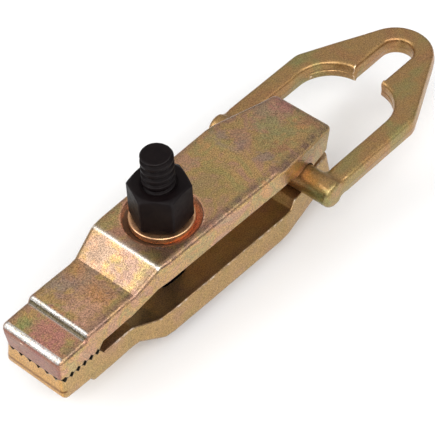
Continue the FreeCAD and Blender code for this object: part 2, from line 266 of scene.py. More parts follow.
def loft(outline: Outline, levels: list[tuple[float, float]]) -> MeshData:
    """Stacks copies of a closed outline and caps both ends.

    Args:
        outline: the outline that is copied.
        levels: how far each copy is moved inwards, and its height.

    Returns:
        The points and the faces.
    """
    rings = []
    for inset, height in levels:
        ring = outline.points(inset)
        rings.append(np.column_stack((ring, np.full(len(ring), height))))
    count = len(rings[0])
    faces = strip_faces(len(rings), count)
    faces.append(tuple(range(count)))
    faces.append(tuple(range((len(rings) - 1) * count, len(rings) * count)))
    return np.concatenate(rings), faces


def swell(places: np.ndarray, seed: int, wave: float, count: int = 28) -> np.ndarray:
    """Gives a smooth random number for each point, by adding waves of random direction.

    Args:
        places: the points, in millimetres.
        seed: starts the random draws.
        wave: the usual distance from crest to crest, in millimetres.
        count: how many waves are added.

    Returns:
        Numbers of mean zero, mostly between -1 and 1.
    """
    draw = np.random.default_rng(seed)
    total = np.zeros(len(places))
    for _ in range(count):
        direction = draw.normal(size=3)
        direction *= 2.0 * math.pi / (wave * draw.uniform(0.7, 1.6) * np.linalg.norm(direction))
        total += np.sin(places @ direction + draw.uniform(0.0, 2.0 * math.pi))
    return total / math.sqrt(count / 2.0) / 1.6


def ease(value: np.ndarray | float, low: float, high: float) -> np.ndarray | float:
    """Gives 0 below low and 1 above high, with a smooth run between."""
    part = np.clip((value - low) / (high - low), 0.0, 1.0)
    return part * part * (3.0 - 2.0 * part)


def revolve(profile: np.ndarray, angles: np.ndarray) -> MeshData:
    """Turns a profile about the Z axis.

    Args:
        profile: rows of radius and height. A radius of nought is a pole.
        angles: the angle of each column, in radians.

    Returns:
        The points and the faces.
    """
    rings = [
        np.column_stack((radius * np.cos(angles), radius * np.sin(angles), np.full(len(angles), height)))
        for radius, height in profile
    ]
    return np.concatenate(rings), strip_faces(len(rings), len(angles))


def even_angles(count: int) -> np.ndarray:
    """Gives evenly spread angles round a full turn, in radians."""
    return np.arange(count) * 2.0 * math.pi / count


def apply_modifiers(piece: bpy.types.Object) -> None:
    """Turns a piece's modifiers into its own mesh.

    Args:
        piece: the mesh object.
    """
    graph = bpy.context.evaluated_depsgraph_get()
    finished = bpy.data.meshes.new_from_object(piece.evaluated_get(graph))
    piece.modifiers.clear()
    piece.data = finished


def cut_with(piece: bpy.types.Object, cutter: bpy.types.Object) -> None:
    """Cuts one mesh out of another, and removes the cutter.

    Args:
        piece: the mesh object that is cut.
        cutter: the closed mesh object that is taken away.
    """
    cut = piece.modifiers.new("cut", "BOOLEAN")
    cut.operation = "DIFFERENCE"
    cut.solver = "EXACT"
    cut.object = cutter
    apply_modifiers(piece)
    bpy.data.objects.remove(cutter)


# ---------------------------------------------------------------- node graphs


Socket = bpy.types.NodeSocket


class Graph:
    """Builds one material's node tree with short calls."""

    def __init__(self, name: str) -> None:
        """Starts a material with one Principled shader."""
        self.material = bpy.data.materials.new(name)
        self.material.use_nodes = True
        self.tree = self.material.node_tree
        self.shader = self.tree.nodes["Principled BSDF"]
        place = self.tree.nodes.new("ShaderNodeTexCoord")
        in_mm = self.tree.nodes.new("ShaderNodeVectorMath")
        in_mm.operation = "SCALE"
        in_mm.inputs["Scale"].default_value = 1.0 / MM
        self.tree.links.new(place.outputs["Object"], in_mm.inputs[0])
        self.place = in_mm.outputs[0]

    def put(self, target: Socket, value: Socket | float | Colour | Vector) -> None:
        """Links a socket to an input, or sets the input's value."""
        if isinstance(value, bpy.types.NodeSocket):
            self.tree.links.new(value, target)
        elif isinstance(value, tuple) and target.type == "RGBA":
            target.default_value = (*value, 1.0)
        else:
            target.default_value = value

    def maths(self, operation: str, first: Socket | float, second: Socket | float = 0.0) -> Socket:
        """Adds one sum of two numbers and gives its result."""
        node = self.tree.nodes.new("ShaderNodeMath")
        node.operation = operation
        self.put(node.inputs[0], first)
        self.put(node.inputs[1], second)
        return node.outputs[0]

    def span(self, value: Socket, low: float, high: float, start: float = 0.0, end: float = 1.0) -> Socket:
        """Spreads a number from one range to another, smoothly and without going past it."""
        node = self.tree.nodes.new("ShaderNodeMapRange")
        node.interpolation_type = "SMOOTHSTEP"
        self.put(node.inputs["Value"], value)
        self.put(node.inputs["From Min"], low)
        self.put(node.inputs["From Max"], high)
        self.put(node.inputs["To Min"], start)
        self.put(node.inputs["To Max"], end)
        return node.outputs[0]

    def shifted(self, offset: Place, stretch: Place = (1, 1, 1)) -> Socket:
        """Gives the place of a point, in millimetres, moved and stretched."""
        node = self.tree.nodes.new("ShaderNodeMapping")
        self.put(node.inputs["Vector"], self.place)
        node.inputs["Location"].default_value = offset
        node.inputs["Scale"].default_value = stretch
        return node.outputs[0]

    def noise(self, size: float, detail: float = 3.0, rough: float = 0.5, seed: float = 0.0,
              stretch: Place = (1, 1, 1), swirl: float = 0.0) -> Socket:
        """Adds a cloudy pattern whose lumps are about size millimetres across."""
        node = self.tree.nodes.new("ShaderNodeTexNoise")
        self.put(node.inputs["Vector"], self.shifted((seed * 7.3, seed * 3.1, seed * 5.7), stretch))
        node.inputs["Scale"].default_value = 1.0 / size
        node.inputs["Detail"].default_value = detail
        node.inputs["Roughness"].default_value = rough
        node.inputs["Distortion"].default_value = swirl
        return node.outputs["Fac"]

    def attribute(self, name: str) -> Socket:
        """Reads one number a point that the mesh carries."""
        node = self.tree.nodes.new("ShaderNodeAttribute")
        node.attribute_name = name
        return node.outputs["Fac"]

    def edges(self) -> Socket:
        """Gives a number over one half on outer edges, and under it in corners."""
        return self.tree.nodes.new("ShaderNodeNewGeometry").outputs["Pointiness"]

    def mix(self, amount: Socket | float, first: Socket | Colour, second: Socket | Colour) -> Socket:
        """Blends two colours."""
        node = self.tree.nodes.new("ShaderNodeMix")
        node.data_type = "RGBA"
        self.put(node.inputs[0], amount)
        self.put(node.inputs[6], first)
        self.put(node.inputs[7], second)
        return node.outputs[2]

    def tinted(self, under: Socket, mask: Socket, share: float, colour: Colour) -> Socket:
        """Turns a colour towards another, as far as a mask and a share say."""
        return self.mix(self.maths("MULTIPLY", mask, share), under, colour)

    def scaled(self, colour: Socket, factor: Socket) -> Socket:
        """Makes a colour brighter or darker."""
        node = self.tree.nodes.new("ShaderNodeVectorMath")
        node.operation = "SCALE"
        self.put(node.inputs[0], colour)
        self.put(node.inputs["Scale"], factor)
        return node.outputs[0]

    def ramp(self, value: Socket, stops: tuple[tuple[float, Colour], ...]) -> Socket:
        """Turns a number into a colour through a run of stops."""
        node = self.tree.nodes.new("ShaderNodeValToRGB")
        band = node.color_ramp
        band.interpolation = "EASE"
        while len(band.elements) < len(stops):
            band.elements.new(0.5)
        for element, (where, colour) in zip(band.elements, stops):
            element.position = where
            element.color = (*colour, 1.0)
        self.put(node.inputs[0], value)
        return node.outputs[0]

    def spot(self, centre: Place, reach: float, ragged: Socket) -> Socket:
        """Gives 1 at a place and 0 beyond its reach, with a ragged edge."""
        node = self.tree.nodes.new("ShaderNodeVectorMath")
        node.operation = "DISTANCE"
        self.put(node.inputs[0], self.place)
        node.inputs[1].default_value = centre
        torn = self.maths("ADD", node.outputs["Value"], self.maths("MULTIPLY", ragged, reach))
        return self.span(torn, reach * 1.55, reach * 0.6)

    def bump(self, height: Socket, depth: float, under: Socket | None = None) -> Socket:
        """Adds relief of the given depth in millimetres, over another relief if there is one."""
        node = self.tree.nodes.new("ShaderNodeBump")
        node.inputs["Distance"].default_value = depth * MM
        self.put(node.inputs["Height"], height)
        if under is not None:
            self.put(node.inputs["Normal"], under)
        return node.outputs[0]

    def finish(self, **inputs: Socket | float | Colour) -> bpy.types.Material:
        """Sets the shader's inputs by name, with _ for a space, and gives the material."""
        for name, value in inputs.items():
            self.put(self.shader.inputs[name.replace("_", " ")], value)
        return self.material


@dataclass(frozen=True)
class Tint:
    """A patch of the plating where the colour film is thicker or thinner.

    Attributes:
        centre: its middle, in millimetres.
        reach: its radius, in millimetres.
        colour: the colour that it turns to.
        strength: how much of that colour shows.
    """

    centre: Place
    reach: float
    colour: Colour
    strength: float = 0.7


class Shade(Enum):
    """The colours of an iridescent zinc film, from thin to thick."""

    LILAC = (0.36, 0.25, 0.21)
    ROSE = (0.54, 0.21, 0.18)
    GOLD = (0.52, 0.32, 0.12)
    OLIVE = (0.36, 0.28, 0.09)
    GREEN = (0.27, 0.31, 0.10)
    ORANGE = (0.64, 0.28, 0.08)


class WearAndPaintedLight(Enum):
    """The colours laid over the film: mottling, edge wear, the dish and the die seam, and painted highlights
    and painted shade.
    """

    MOTTLE = (0.27, 0.17, 0.11)
    # Pale edge wear with a painted highlight.
    EDGE_WEAR_AND_SHEEN = (0.95, 0.72, 0.52)
    # Painted shade in concave corners.
    CORNER_SHADE = (0.16, 0.10, 0.035)
    DISH = (0.80, 0.38, 0.24)
    RIM_SHADE = (0.17, 0.10, 0.085)
    # Painted shade along the top edges.
    SHADE = (0.08, 0.068, 0.036)
    # Pale wear with a painted highlight on the rounded beads.
    BEAD_WEAR_AND_HIGHLIGHT = (0.54, 0.52, 0.49)
    # Painted highlights.
    HIGHLIGHT_LINE = (0.85, 0.78, 0.70)
    # Painted shade on the teeth between the jaws.
    TEETH_SHADE = (0.15, 0.135, 0.11)
    SEAM = (0.11, 0.03, 0.005)


@dataclass(frozen=True)
class ZincFilm:
    """Yellow zinc plate over a shot-blasted forging.

    Attributes:
        name: the material's name.
        base: the colours that the film wanders through.
        patch: the usual width of a patch of one colour, in millimetres.
        grain: the width of one pit of the blasted skin, in millimetres.
        grain_depth: how deep the pits are, in millimetres.
        contrast: how much lighter and darker than the film the finest grain is.
        front: the colour of the film on the front face.
        seam_depth: how dark the die seam is, from 0 to 1.
        seed: moves the pattern.
        tints: places where the film is another colour.
    """

    name: str
    base: tuple[tuple[float, Colour], ...]
    patch: float = 17.0
    grain: float = 0.62
    grain_depth: float = 0.09
    contrast: float = 0.56
    front: Colour = (0.23, 0.08, 0.062)
    seam_depth: float = 0.3
    seed: float = 1.0
    tints: tuple[Tint, ...] = ()

    def build(self) -> bpy.types.Material:
        """Makes the material and gives it back."""
        graph = Graph(self.name)
        wander = graph.noise(self.patch, 3.0, 0.55, self.seed, swirl=0.6)
        film = graph.ramp(wander, self.base)
        ragged = graph.span(graph.noise(5.0, 4.0, 0.62, self.seed + 3.0), 0.3, 0.7)
        for tint in self.tints:
            where = graph.spot(tint.centre, tint.reach, ragged)
            film = graph.tinted(film, where, tint.strength, tint.colour)
        film = graph.tinted(film, graph.attribute("front"), 0.85, self.front)
        mottle = graph.span(graph.noise(2.6, 5.0, 0.7, self.seed + 5.0), 0.34, 0.66)
        film = graph.tinted(film, mottle, 0.24, WearAndPaintedLight.MOTTLE.value)
        point = graph.edges()
        # rim: the dark band that paint() lays inside the top edges, painted shade; it also holds back the
        # edge highlight.
        rim = graph.maths("MULTIPLY", graph.attribute("rim"), graph.span(ragged, 0.0, 1.0, 0.35, 1.0))
        # Convex edges, found by pointiness: pale edge wear with a painted highlight, held back where the
        # rim's painted shade lies.
        crest = graph.span(point, 0.515, 0.56)
        crest = graph.maths("MULTIPLY", crest, graph.span(rim, 0.0, 0.4, 1.0, 0.25))
        film = graph.tinted(film, crest, 0.65, WearAndPaintedLight.EDGE_WEAR_AND_SHEEN.value)
        # Concave corners and creases darkened: painted shade.
        film = graph.tinted(film, graph.span(point, 0.485, 0.44), 0.6, WearAndPaintedLight.CORNER_SHADE.value)
        film = graph.tinted(film, graph.attribute("dish"), 0.75, WearAndPaintedLight.DISH.value)
        film = graph.tinted(film, rim, 0.8, WearAndPaintedLight.RIM_SHADE.value)
        film = graph.tinted(film, graph.attribute("shade"), 0.95, WearAndPaintedLight.SHADE.value)
        # The rounded beads of the nose and step: pale wear with a painted highlight, broken up by noise.
        bead_wear_and_highlight = graph.span(graph.noise(1.6, 4.0, 0.65, self.seed + 15.0), 0.25, 0.6, 0.45, 1.0)
        bead_wear_and_highlight = graph.maths("MULTIPLY", bead_wear_and_highlight, graph.attribute("bead"))
        film = graph.mix(bead_wear_and_highlight, film, WearAndPaintedLight.BEAD_WEAR_AND_HIGHLIGHT.value)
        # Painted highlight lines and flecks.
        film = graph.mix(graph.attribute("painted_highlight"), film, WearAndPaintedLight.HIGHLIGHT_LINE.value)
        grain = graph.noise(self.grain, 3.0, 0.75, self.seed + 7.0)
        film = graph.scaled(film, graph.span(grain, 0.30, 0.70, 1.0 - self.contrast, 1.0 + self.contrast))
        # The teeth between the jaws darkened: painted shade.
        film = graph.tinted(film, graph.attribute("teeth_shade"), 0.9, WearAndPaintedLight.TEETH_SHADE.value)
        film = graph.tinted(film, graph.attribute("seam"), self.seam_depth, WearAndPaintedLight.SEAM.value)
        rough = graph.span(graph.noise(9.0, 4.0, 0.6, self.seed + 11.0), 0.3, 0.7, 0.31, 0.44)
        rough = graph.maths("SUBTRACT", rough, graph.maths("MULTIPLY", crest, 0.12))
        skin = graph.bump(graph.noise(self.grain, 3.0, 0.6, self.seed + 7.0), self.grain_depth)
        skin = graph.bump(graph.noise(4.5, 3.0, 0.55, self.seed + 13.0), 0.16, skin)
        return graph.finish(
            Base_Color=film, Roughness=rough, Normal=skin,
            Metallic=0.94, Coat_Weight=0.22, Coat_Roughness=0.2,
        )


@dataclass(frozen=True)
class BlackOxide:
    """Oiled black oxide on a machined fastener.

    Attributes:
        name: the material's name.
        colour: the colour of the oxide.
        seed: moves the pattern.
    """

    name: str
    colour: Colour = (0.0036, 0.0018, 0.0021)
    seed: float = 2.0

    def build(self) -> bpy.types.Material:
        """Makes the material and gives it back."""
        graph = Graph(self.name)
        cloud = graph.span(graph.noise(6.0, 4.0, 0.6, self.seed), 0.3, 0.7)
        skin = graph.mix(cloud, self.colour, (0.0065, 0.0038, 0.0038))
        # Edges, found by pointiness, lighter: edge wear with a painted highlight.
        crest = graph.span(graph.edges(), 0.52, 0.60)
        skin = graph.tinted(skin, crest, 0.45, (0.055, 0.048, 0.048))
        rough = graph.span(graph.noise(3.0, 4.0, 0.6, self.seed + 2.0), 0.3, 0.7, 0.40, 0.54)
        turned = graph.noise(0.5, 2.0, 0.5, self.seed + 4.0, stretch=(0.25, 0.25, 3.0))
        relief = graph.bump(turned, 0.02)
        relief = graph.bump(graph.noise(1.1, 3.0, 0.6, self.seed + 5.0), 0.025, relief)
        return graph.finish(
            Base_Color=skin, Roughness=rough, Normal=relief, Metallic=0.0, Specular_IOR_Level=0.09,
        )


@dataclass(frozen=True)
class CopperyZinc:
    """Zinc film on a turned washer, thick enough to look like copper.

    Attributes:
        name: the material's name.
        seed: moves the pattern.
    """

    name: str
    seed: float = 4.0

    def build(self) -> bpy.types.Material:
        """Makes the material and gives it back."""
        graph = Graph(self.name)
        cloud = graph.noise(5.0, 3.0, 0.6, self.seed, swirl=0.5)
        skin = graph.ramp(cloud, (
            (0.30, (0.52, 0.24, 0.12)), (0.5, (0.72, 0.36, 0.17)), (0.7, (0.66, 0.42, 0.18)),
        ))
        fine = graph.span(graph.noise(0.6, 3.0, 0.6, self.seed + 1.0), 0.35, 0.65)
        skin = graph.tinted(skin, fine, 0.25, (0.80, 0.60, 0.42))
        # Edges, found by pointiness, lighter: edge wear with a painted highlight.
        crest = graph.span(graph.edges(), 0.51, 0.56)
        skin = graph.tinted(skin, crest, 0.6, (0.88, 0.66, 0.46))
        rough = graph.span(graph.noise(4.0, 4.0, 0.6, self.seed + 3.0), 0.3, 0.7, 0.24, 0.38)
        rings = graph.noise(0.4, 2.0, 0.5, self.seed + 5.0, stretch=(0.3, 0.3, 2.5))
        return graph.finish(Base_Color=skin, Roughness=rough, Normal=graph.bump(rings, 0.02), Metallic=0.95)


# ---------------------------------------------------------------- the clamp's lines


@dataclass(frozen=True)
class Datum:
    """The lines that every piece is placed from, in millimetres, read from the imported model.

    Attributes:
        plane: height of the plane between the jaws.
        pivot: distance from the bolt to the crossbar's axis.
        plateau: height of a jaw's outer face over the plane.
    """

    plane: float
    pivot: float
    plateau: float


def read_datum() -> Datum:
    """Reads the clamp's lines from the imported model."""
    hinge = joint_place("jaw_open")
    _, high = box_mm("upper_jaw")
    return Datum(hinge[2], hinge[0], high[2] - hinge[2])


class Side(Enum):
    """Which jaw a piece is."""

    UPPER = 1
    LOWER = -1


def put_on_side(piece: bpy.types.Object, plane: float, side: Side) -> None:
    """Puts a piece that is drawn over the plane between the jaws on its own side of it.

    Args:
        piece: the mesh object.
        plane: the plane's height, in millimetres.
        side: the side that the piece belongs to.
    """
    lift = Matrix.Translation((0.0, 0.0, plane * MM))
    piece.data.transform(lift @ Matrix.Diagonal((1.0, 1.0, side.value, 1.0)))
    if side is Side.LOWER:
        piece.data.flip_normals()
    smooth(piece)


@dataclass
class ForgedJaw:
    """One jaw: a forged bar with teeth at its nose, a bolt slot and a seat for the crossbar.

    Lengths are in millimetres. Heights are measured from the plane between the jaws, and
    x from the bolt's axis, rising towards the crossbar. The lower jaw is the same
    forging turned over.
    """

    datum: Datum
    name: str
    node: str
    body: str
    side: Side
    finish: ZincFilm
    front: float = -88.0
    rear: float = 101.5
    half_widths: tuple[tuple[float, float], ...] = (
        (-88.0, 18.3), (-44.0, 18.0), (-19.0, 20.6), (62.0, 21.9), (101.5, 16.4),
    )
    draft: float = math.radians(5.0)
    nose_height: float = 13.2
    step_height: float = 14.0
    mid_height: float = 16.6
    tail_height: float = 18.7
    step_foot: float = -71.4
    step_crest: float = -69.5
    slope_foot: float = -39.5
    plateau_start: float = -24.6
    plateau_end: float = 56.0
    arch_foot: float = -42.0
    arch_full: float = -26.0
    arch_end: float = 66.45
    front_round: float = 4.0
    tail_round: float = 4.5
    plan_round: float = 2.8
    edge_round: float = 2.6
    inner_round: float = 0.9
    bite: float = 0.04
    tooth_end: float = -63.5
    throat: float = 3.8
    arch: float = 10.3
    guard: float = 6.6
    guard_start: float = 70.15
    seat_radius: float = 7.55
    lip_rise: float = math.radians(4.6)
    lip_gap: float = 0.5
    tooth_pitch: float = 4.2
    tooth_first: float = -85.9
    split_pitch: float = 5.6
    tooth_count: int = 6
    tooth_depth: float = 1.66
    tooth_shape: tuple[tuple[float, float], ...] = ((0.0, 1.0), (0.12, 1.0), (1.28, 0.15), (1.6, 0.0))
    split_start: float = 0.0
    dish_radius: float = 30.0
    dish_centre: float = 47.8
    dish_rim: float = 19.5
    slot_half: float = 8.7
    slot_ends: tuple[float, float] = (-6.2, 0.8)
    seam_share: float = 0.58
    swell_depth: float = 0.05
    seam_steps: tuple[float, ...] = (-0.8, -0.5, -0.25, 0.0, 0.25, 0.5, 0.8)
    arc_steps: int = 6

    def outer_line(self) -> np.ndarray:
        """Gives the outer face's profile as points of x and height."""
        return Outline((
            Corner(self.front - 2.0, self.nose_height - 0.08),
            Corner(self.step_foot, self.step_height, 0.5),
            Corner(self.step_crest, self.mid_height, 2.0),
            Corner(self.slope_foot, self.mid_height, 0.9),
            Corner(self.plateau_start, self.datum.plateau, 2.6),
            Corner(self.plateau_end, self.datum.plateau, 10.0),
            Corner(self.rear + 2.0, self.tail_height - 0.28),
        )).points()

    def inner_line(self) -> np.ndarray:
        """Gives the inner face's profile, with the teeth left out, as points of x and height."""
        pivot, radius = self.datum.pivot, self.seat_radius
        start = math.pi - math.asin(self.guard / radius)
        lead = Outline((
            Corner(self.front - 2.0, self.bite),
            Corner(self.tooth_end, self.bite, 0.5),
            Corner(self.tooth_end + 2.4, self.throat, 1.2),
            Corner(self.arch_foot, self.throat, 6.0),
            Corner(self.arch_full, self.arch, 6.0),
            Corner(self.arch_end, self.arch, 1.5),
            Corner(self.guard_start, self.guard, 1.2),
            Corner(pivot + radius * math.cos(start), self.guard),
        )).points()
        angles = np.linspace(start, self.seat_end(), 22)[1:]
        seat = arc_points((pivot, 0.0), radius, angles)
        lip = np.array([(self.rear + 2.0, self.lip_height(self.rear + 2.0))])
        return np.concatenate((lead, seat, lip))

    def lip_height(self, x: float) -> float:
        """Gives the height of the lip behind the crossbar."""
        return self.lip_gap + (x - self.datum.pivot) * math.tan(self.lip_rise)

    def seat_end(self) -> float:
        """Gives the angle at which the seat meets the lip behind it, in radians."""
        angle = math.radians(20.0)
        for _ in range(12):
            x = self.datum.pivot + self.seat_radius * math.cos(angle)
            angle = math.asin(self.lip_height(x) / self.seat_radius)
        return angle

    def groove(self, offset: np.ndarray) -> np.ndarray:
        """Gives the depth of one tooth groove at a distance from its middle."""
        away, deep = zip(*self.tooth_shape)
        return self.tooth_depth * np.interp(np.abs(offset), away, deep)

    def groove_lines(self) -> tuple[np.ndarray, np.ndarray]:
        """Gives the middles of the cross grooves, in x, and of the long ones, in y."""
        numbers = np.arange(self.tooth_count)
        across = self.tooth_first + self.tooth_pitch * numbers
        along = self.split_pitch * (numbers - (self.tooth_count - 1) / 2.0)
        return across, along

    def tooth_cut(self, x: float, y: np.ndarray) -> np.ndarray:
        """Gives how deep the teeth are cut at points of one station."""
        across, along = self.groove_lines()
        deep = np.zeros(len(y))
        for middle in across:
            deep = np.maximum(deep, self.groove(np.array([x - middle]))[0])
        if x < self.tooth_end:
            run_in = 1.0
            if self.split_start:
                run_in = float(ease(x - self.front, self.split_start, self.split_start + 1.5))
            for middle in along:
                deep = np.maximum(deep, self.groove(y - middle) * run_in)
        return deep * float(ease(self.tooth_end + 0.6 - x, 0.0, 0.5))

    def groove_edges(self, middles: np.ndarray) -> np.ndarray:
        """Gives the grid lines that follow the edges and middles of some grooves."""
        offsets = np.array([0.12, 0.7, 1.28, 1.6])
        offsets = np.concatenate((-offsets[::-1], offsets))
        return (middles[:, None] + offsets).ravel()

    def stations(self) -> np.ndarray:
        """Gives the places along x at which the jaw's section is drawn."""
        across, _ = self.groove_lines()
        turn = np.linspace(0.0, math.pi / 2.0, 9)
        marks = [
            self.front + self.front_round * (1.0 - np.cos(turn)),
            self.rear - self.tail_round * (1.0 - np.cos(turn)),
            self.groove_edges(across),
            self.outer_line()[:, 0],
            self.inner_line()[:, 0],
        ]
        found = np.unique(np.concatenate(marks))
        found = found[(found >= self.front) & (found <= self.rear)]
        kept = [found[0]]
        for x in found[1:]:
            begin = kept[-1]
            gap = x - begin
            if gap < 0.07 and x < self.rear:
                continue
            pieces = max(1, math.ceil(gap / 1.6))
            kept.extend(begin + gap * step / pieces for step in range(1, pieces + 1))
        return np.array(kept)

    def columns(self) -> np.ndarray:
        """Gives the grid lines across the jaw, in y, for its widest flat."""
        _, along = self.groove_lines()
        inner = self.groove_edges(along)
        edge = np.linspace(inner[-1], inner[-1] + 1.3, 3)[1:]
        return np.concatenate((-edge[::-1], inner, edge))

    def round_off(self, x: float, radius: float, end: float) -> float:
        """Gives how far an end's rounding has drawn a face in at a station."""
        near = abs(x - end)
        if near >= radius:
            return 0.0
        return radius - math.sqrt(radius**2 - (radius - near) ** 2)

    def section(self, x: float) -> tuple[np.ndarray, np.ndarray, np.ndarray]:
        """Draws the jaw's section at one station.

        Args:
            x: the station.

        Returns:
            The bottom row, the side row and the top row, as points of y and height; the
            rows at the bottom and top run across the jaw, and the side row up its +y side.
        """
        end = self.front if x < 0.0 else self.rear
        end_round = self.front_round if x < 0.0 else self.tail_round
        places, widths = zip(*self.half_widths)
        half = float(np.interp(x, places, widths)) - self.round_off(x, self.plan_round, end)
        outer, inner = self.outer_line(), self.inner_line()
        top = float(np.interp(x, outer[:, 0], outer[:, 1])) - self.round_off(x, end_round, end)
        bottom = float(np.interp(x, inner[:, 0], inner[:, 1])) + self.round_off(x, 0.15, end)
        near = min(abs(x - end) / end_round, 1.0)
        full = math.sqrt(max(1.0 - (1.0 - near) ** 2, 0.0))
        high_round = max(self.edge_round * full, 0.15)
        toothed = x < self.tooth_end
        low_round = 0.2 if toothed else max(self.inner_round * full, 0.15)
        side_cut = self.tooth_cut(x, np.array([half]))[0] if toothed else 0.0
        low_middle = bottom + side_cut + low_round
        lean, slant = math.tan(self.draft), math.cos(self.draft)
        low_centre = (half + low_middle * lean - low_round / slant, low_middle)
        high_middle = top - high_round
        high_centre = (half + high_middle * lean - high_round / slant, high_middle)
        arc = np.linspace(0.0, 1.0, self.arc_steps + 1)
        low_angles = -math.pi / 2.0 + arc * (math.pi / 2.0 - self.draft)
        high_angles = -self.draft + arc * (math.pi / 2.0 + self.draft)
        low_arc = arc_points(low_centre, low_round, low_angles)
        high_arc = arc_points(high_centre, high_round, high_angles)
        seam = bottom + self.seam_share * (top - bottom)
        share = self.wall_shares(low_arc[-1][1], high_arc[0][1], seam)[:, None]
        wall = low_arc[-1] * (1.0 - share) + high_arc[0] * share
        side = np.concatenate((low_arc[:-1], wall, high_arc[1:]))
        lines = self.columns()
        flat = lines / lines[-1]
        squeeze = float(ease(x, self.tooth_end, self.tooth_end + 6.0))
        reach = side[0, 0]
        inside = np.abs(lines) < lines[-1] - 0.01
        fitted = np.where(inside, np.clip(lines, -reach * 0.985, reach * 0.985), np.sign(lines) * reach)
        if reach < abs(lines[-3]):
            fitted = flat * reach
        low_y = fitted * (1.0 - squeeze) + flat * reach * squeeze
        low_y[[0, -1]] = (-reach, reach)
        cut = self.tooth_cut(x, low_y) if toothed else np.zeros(len(low_y))
        low_row = np.column_stack((low_y, bottom + cut))
        low_row[[0, -1], 1] = side[0, 1]
        high_row = np.column_stack((flat * side[-1, 0], np.full(len(lines), top)))
        return low_row, side, high_row

    def wall_shares(self, low: float, high: float, seam: float) -> np.ndarray:
        """Gives the rows up a side wall, close together at the die seam.

        Args:
            low: the height of the wall's foot.
            high: the height of its top.
            seam: the height of the seam.

        Returns:
            Shares of the wall's height, from 0 to 1.
        """
        middle = min(max((seam - low) / (high - low), 0.15), 0.9)
        near = middle + np.clip(np.array(self.seam_steps) / (high - low), -0.09, 0.09)
        below = np.linspace(0.0, near[0], 5)[:-1]
        above = np.linspace(near[-1], 1.0, 4)[1:]
        return np.concatenate((below, near, above))

    def end_patch(self, low: np.ndarray, side: np.ndarray, high: np.ndarray) -> np.ndarray:
        """Fills an end's outline with a grid of points.

        Args:
            low: the bottom row.
            side: the side row, up the +y side.
            high: the top row.

        Returns:
            Points of y and height, as rows by columns.
        """
        across = ((low[:, 0] - low[0, 0]) / (low[-1, 0] - low[0, 0]))[None, :, None]
        up = ((side[:, 1] - side[0, 1]) / (side[-1, 1] - side[0, 1]))[:, None, None]
        left = side * np.array((-1.0, 1.0))
        rows = (1.0 - up) * low[None] + up * high[None]
        sides = (1.0 - across) * left[:, None] + across * side[:, None]
        corners = (1.0 - up) * ((1.0 - across) * low[0] + across * low[-1])
        corners = corners + up * ((1.0 - across) * high[0] + across * high[-1])
        return rows + sides - corners

    def skin(self) -> MeshData:
        """Draws the whole jaw as a closed grid of quads, before its slot and dish are cut."""
        stations = self.stations()
        rings: list[np.ndarray] = []
        sections = [self.section(x) for x in stations]
        for x, (low, side, high) in zip(stations, sections):
            ring = np.concatenate((low[:-1], side[:-1], high[::-1][:-1], (side * (-1.0, 1.0))[::-1][:-1]))
            rings.append(np.column_stack((np.full(len(ring), x), ring)))
        places = np.concatenate(rings)
        columns = len(rings[0])
        faces = strip_faces(len(rings), columns)
        for x, (low, side, high) in ((stations[0], sections[0]), (stations[-1], sections[-1])):
            patch = self.end_patch(low, side, high)
            start = len(places)
            tall, wide = patch.shape[:2]
            flat = patch.reshape(-1, 2)
            places = np.concatenate((places, np.column_stack((np.full(len(flat), x), flat))))
            for row in range(tall - 1):
                for column in range(wide - 1):
                    first = start + row * wide + column
                    faces.append((first, first + 1, first + wide + 1, first + wide))
        lean = math.tan(self.draft)
        ahead = ease(-places[:, 0], -self.front - 12.0, -self.front)
        behind = ease(places[:, 0], self.rear - 12.0, self.rear)
        places[:, 0] += places[:, 2] * lean * (behind - ahead)
        return places, faces

    def add_relief(self, piece: bpy.types.Object) -> None:
        """Gives the skin its die seam and the slight unevenness of a forging.

        Args:
            piece: the jaw's mesh object, in the upper jaw's own heights.
        """
        places, normals = places_of(piece.data), normals_of(piece.data)
        outer, inner = self.outer_line(), self.inner_line()
        top = np.interp(places[:, 0], outer[:, 0], outer[:, 1])
        bottom = np.interp(places[:, 0], inner[:, 0], inner[:, 1])
        share = (places[:, 2] - bottom) / (top - bottom)
        upright = ease(1.0 - np.abs(normals[:, 2]), 0.45, 0.8)
        ends = ease(-places[:, 0], 84.0, 87.5)
        band = np.exp(-(((share - self.seam_share) * (top - bottom) / 0.62) ** 2)) * upright
        seam = band * (0.25 + 0.75 * ends)
        toothed = ease(-places[:, 0], 62.0, 64.5) * ease(2.2 - places[:, 2], 0.0, 0.4)
        uneven = swell(places, 11, 26.0) * self.swell_depth
        uneven = uneven + swell(places, 12, 7.0) * self.swell_depth * 0.4
        uneven = (uneven - self.swell_depth) * (1.0 - toothed)
        move_points(piece.data, places + normals * (uneven + seam * 0.14)[:, None])
        paint_points(piece.data, "seam", np.clip(seam, 0.0, 1.0) * ends)
        # teeth_shade: the teeth's faces that look towards the other jaw, darkened: painted shade.
        paint_points(piece.data, "teeth_shade", toothed * ease(-normals[:, 2], 0.15, 0.4))

    def paint(self, piece: bpy.types.Object) -> None:
        """Marks the beads, which get pale wear and a painted highlight, the painted highlight lines, the
        painted shade, and where the film differs.

        Args:
            piece: the jaw's mesh object, cut, in the upper jaw's own heights.
        """
        mesh = piece.data
        places, normals = places_of(mesh), normals_of(mesh)
        x, y, z = places.T
        tilt = np.degrees(np.arctan2(-normals[:, 0], normals[:, 2]))
        level = ease(0.5 - np.abs(normals[:, 1]), 0.0, 0.3)
        ahead = ease(-x, 66.0, 66.5)
        # bead: the rounded top edges of the nose and step, which get pale wear and a painted highlight.
        bead = ease(tilt, 5.0, 12.0) * ease(-tilt, -66.0, -54.0) * level * ahead
        bead *= 1.0 - ease(-x, 70.2, 70.6) * ease(x, -74.0, -73.0)
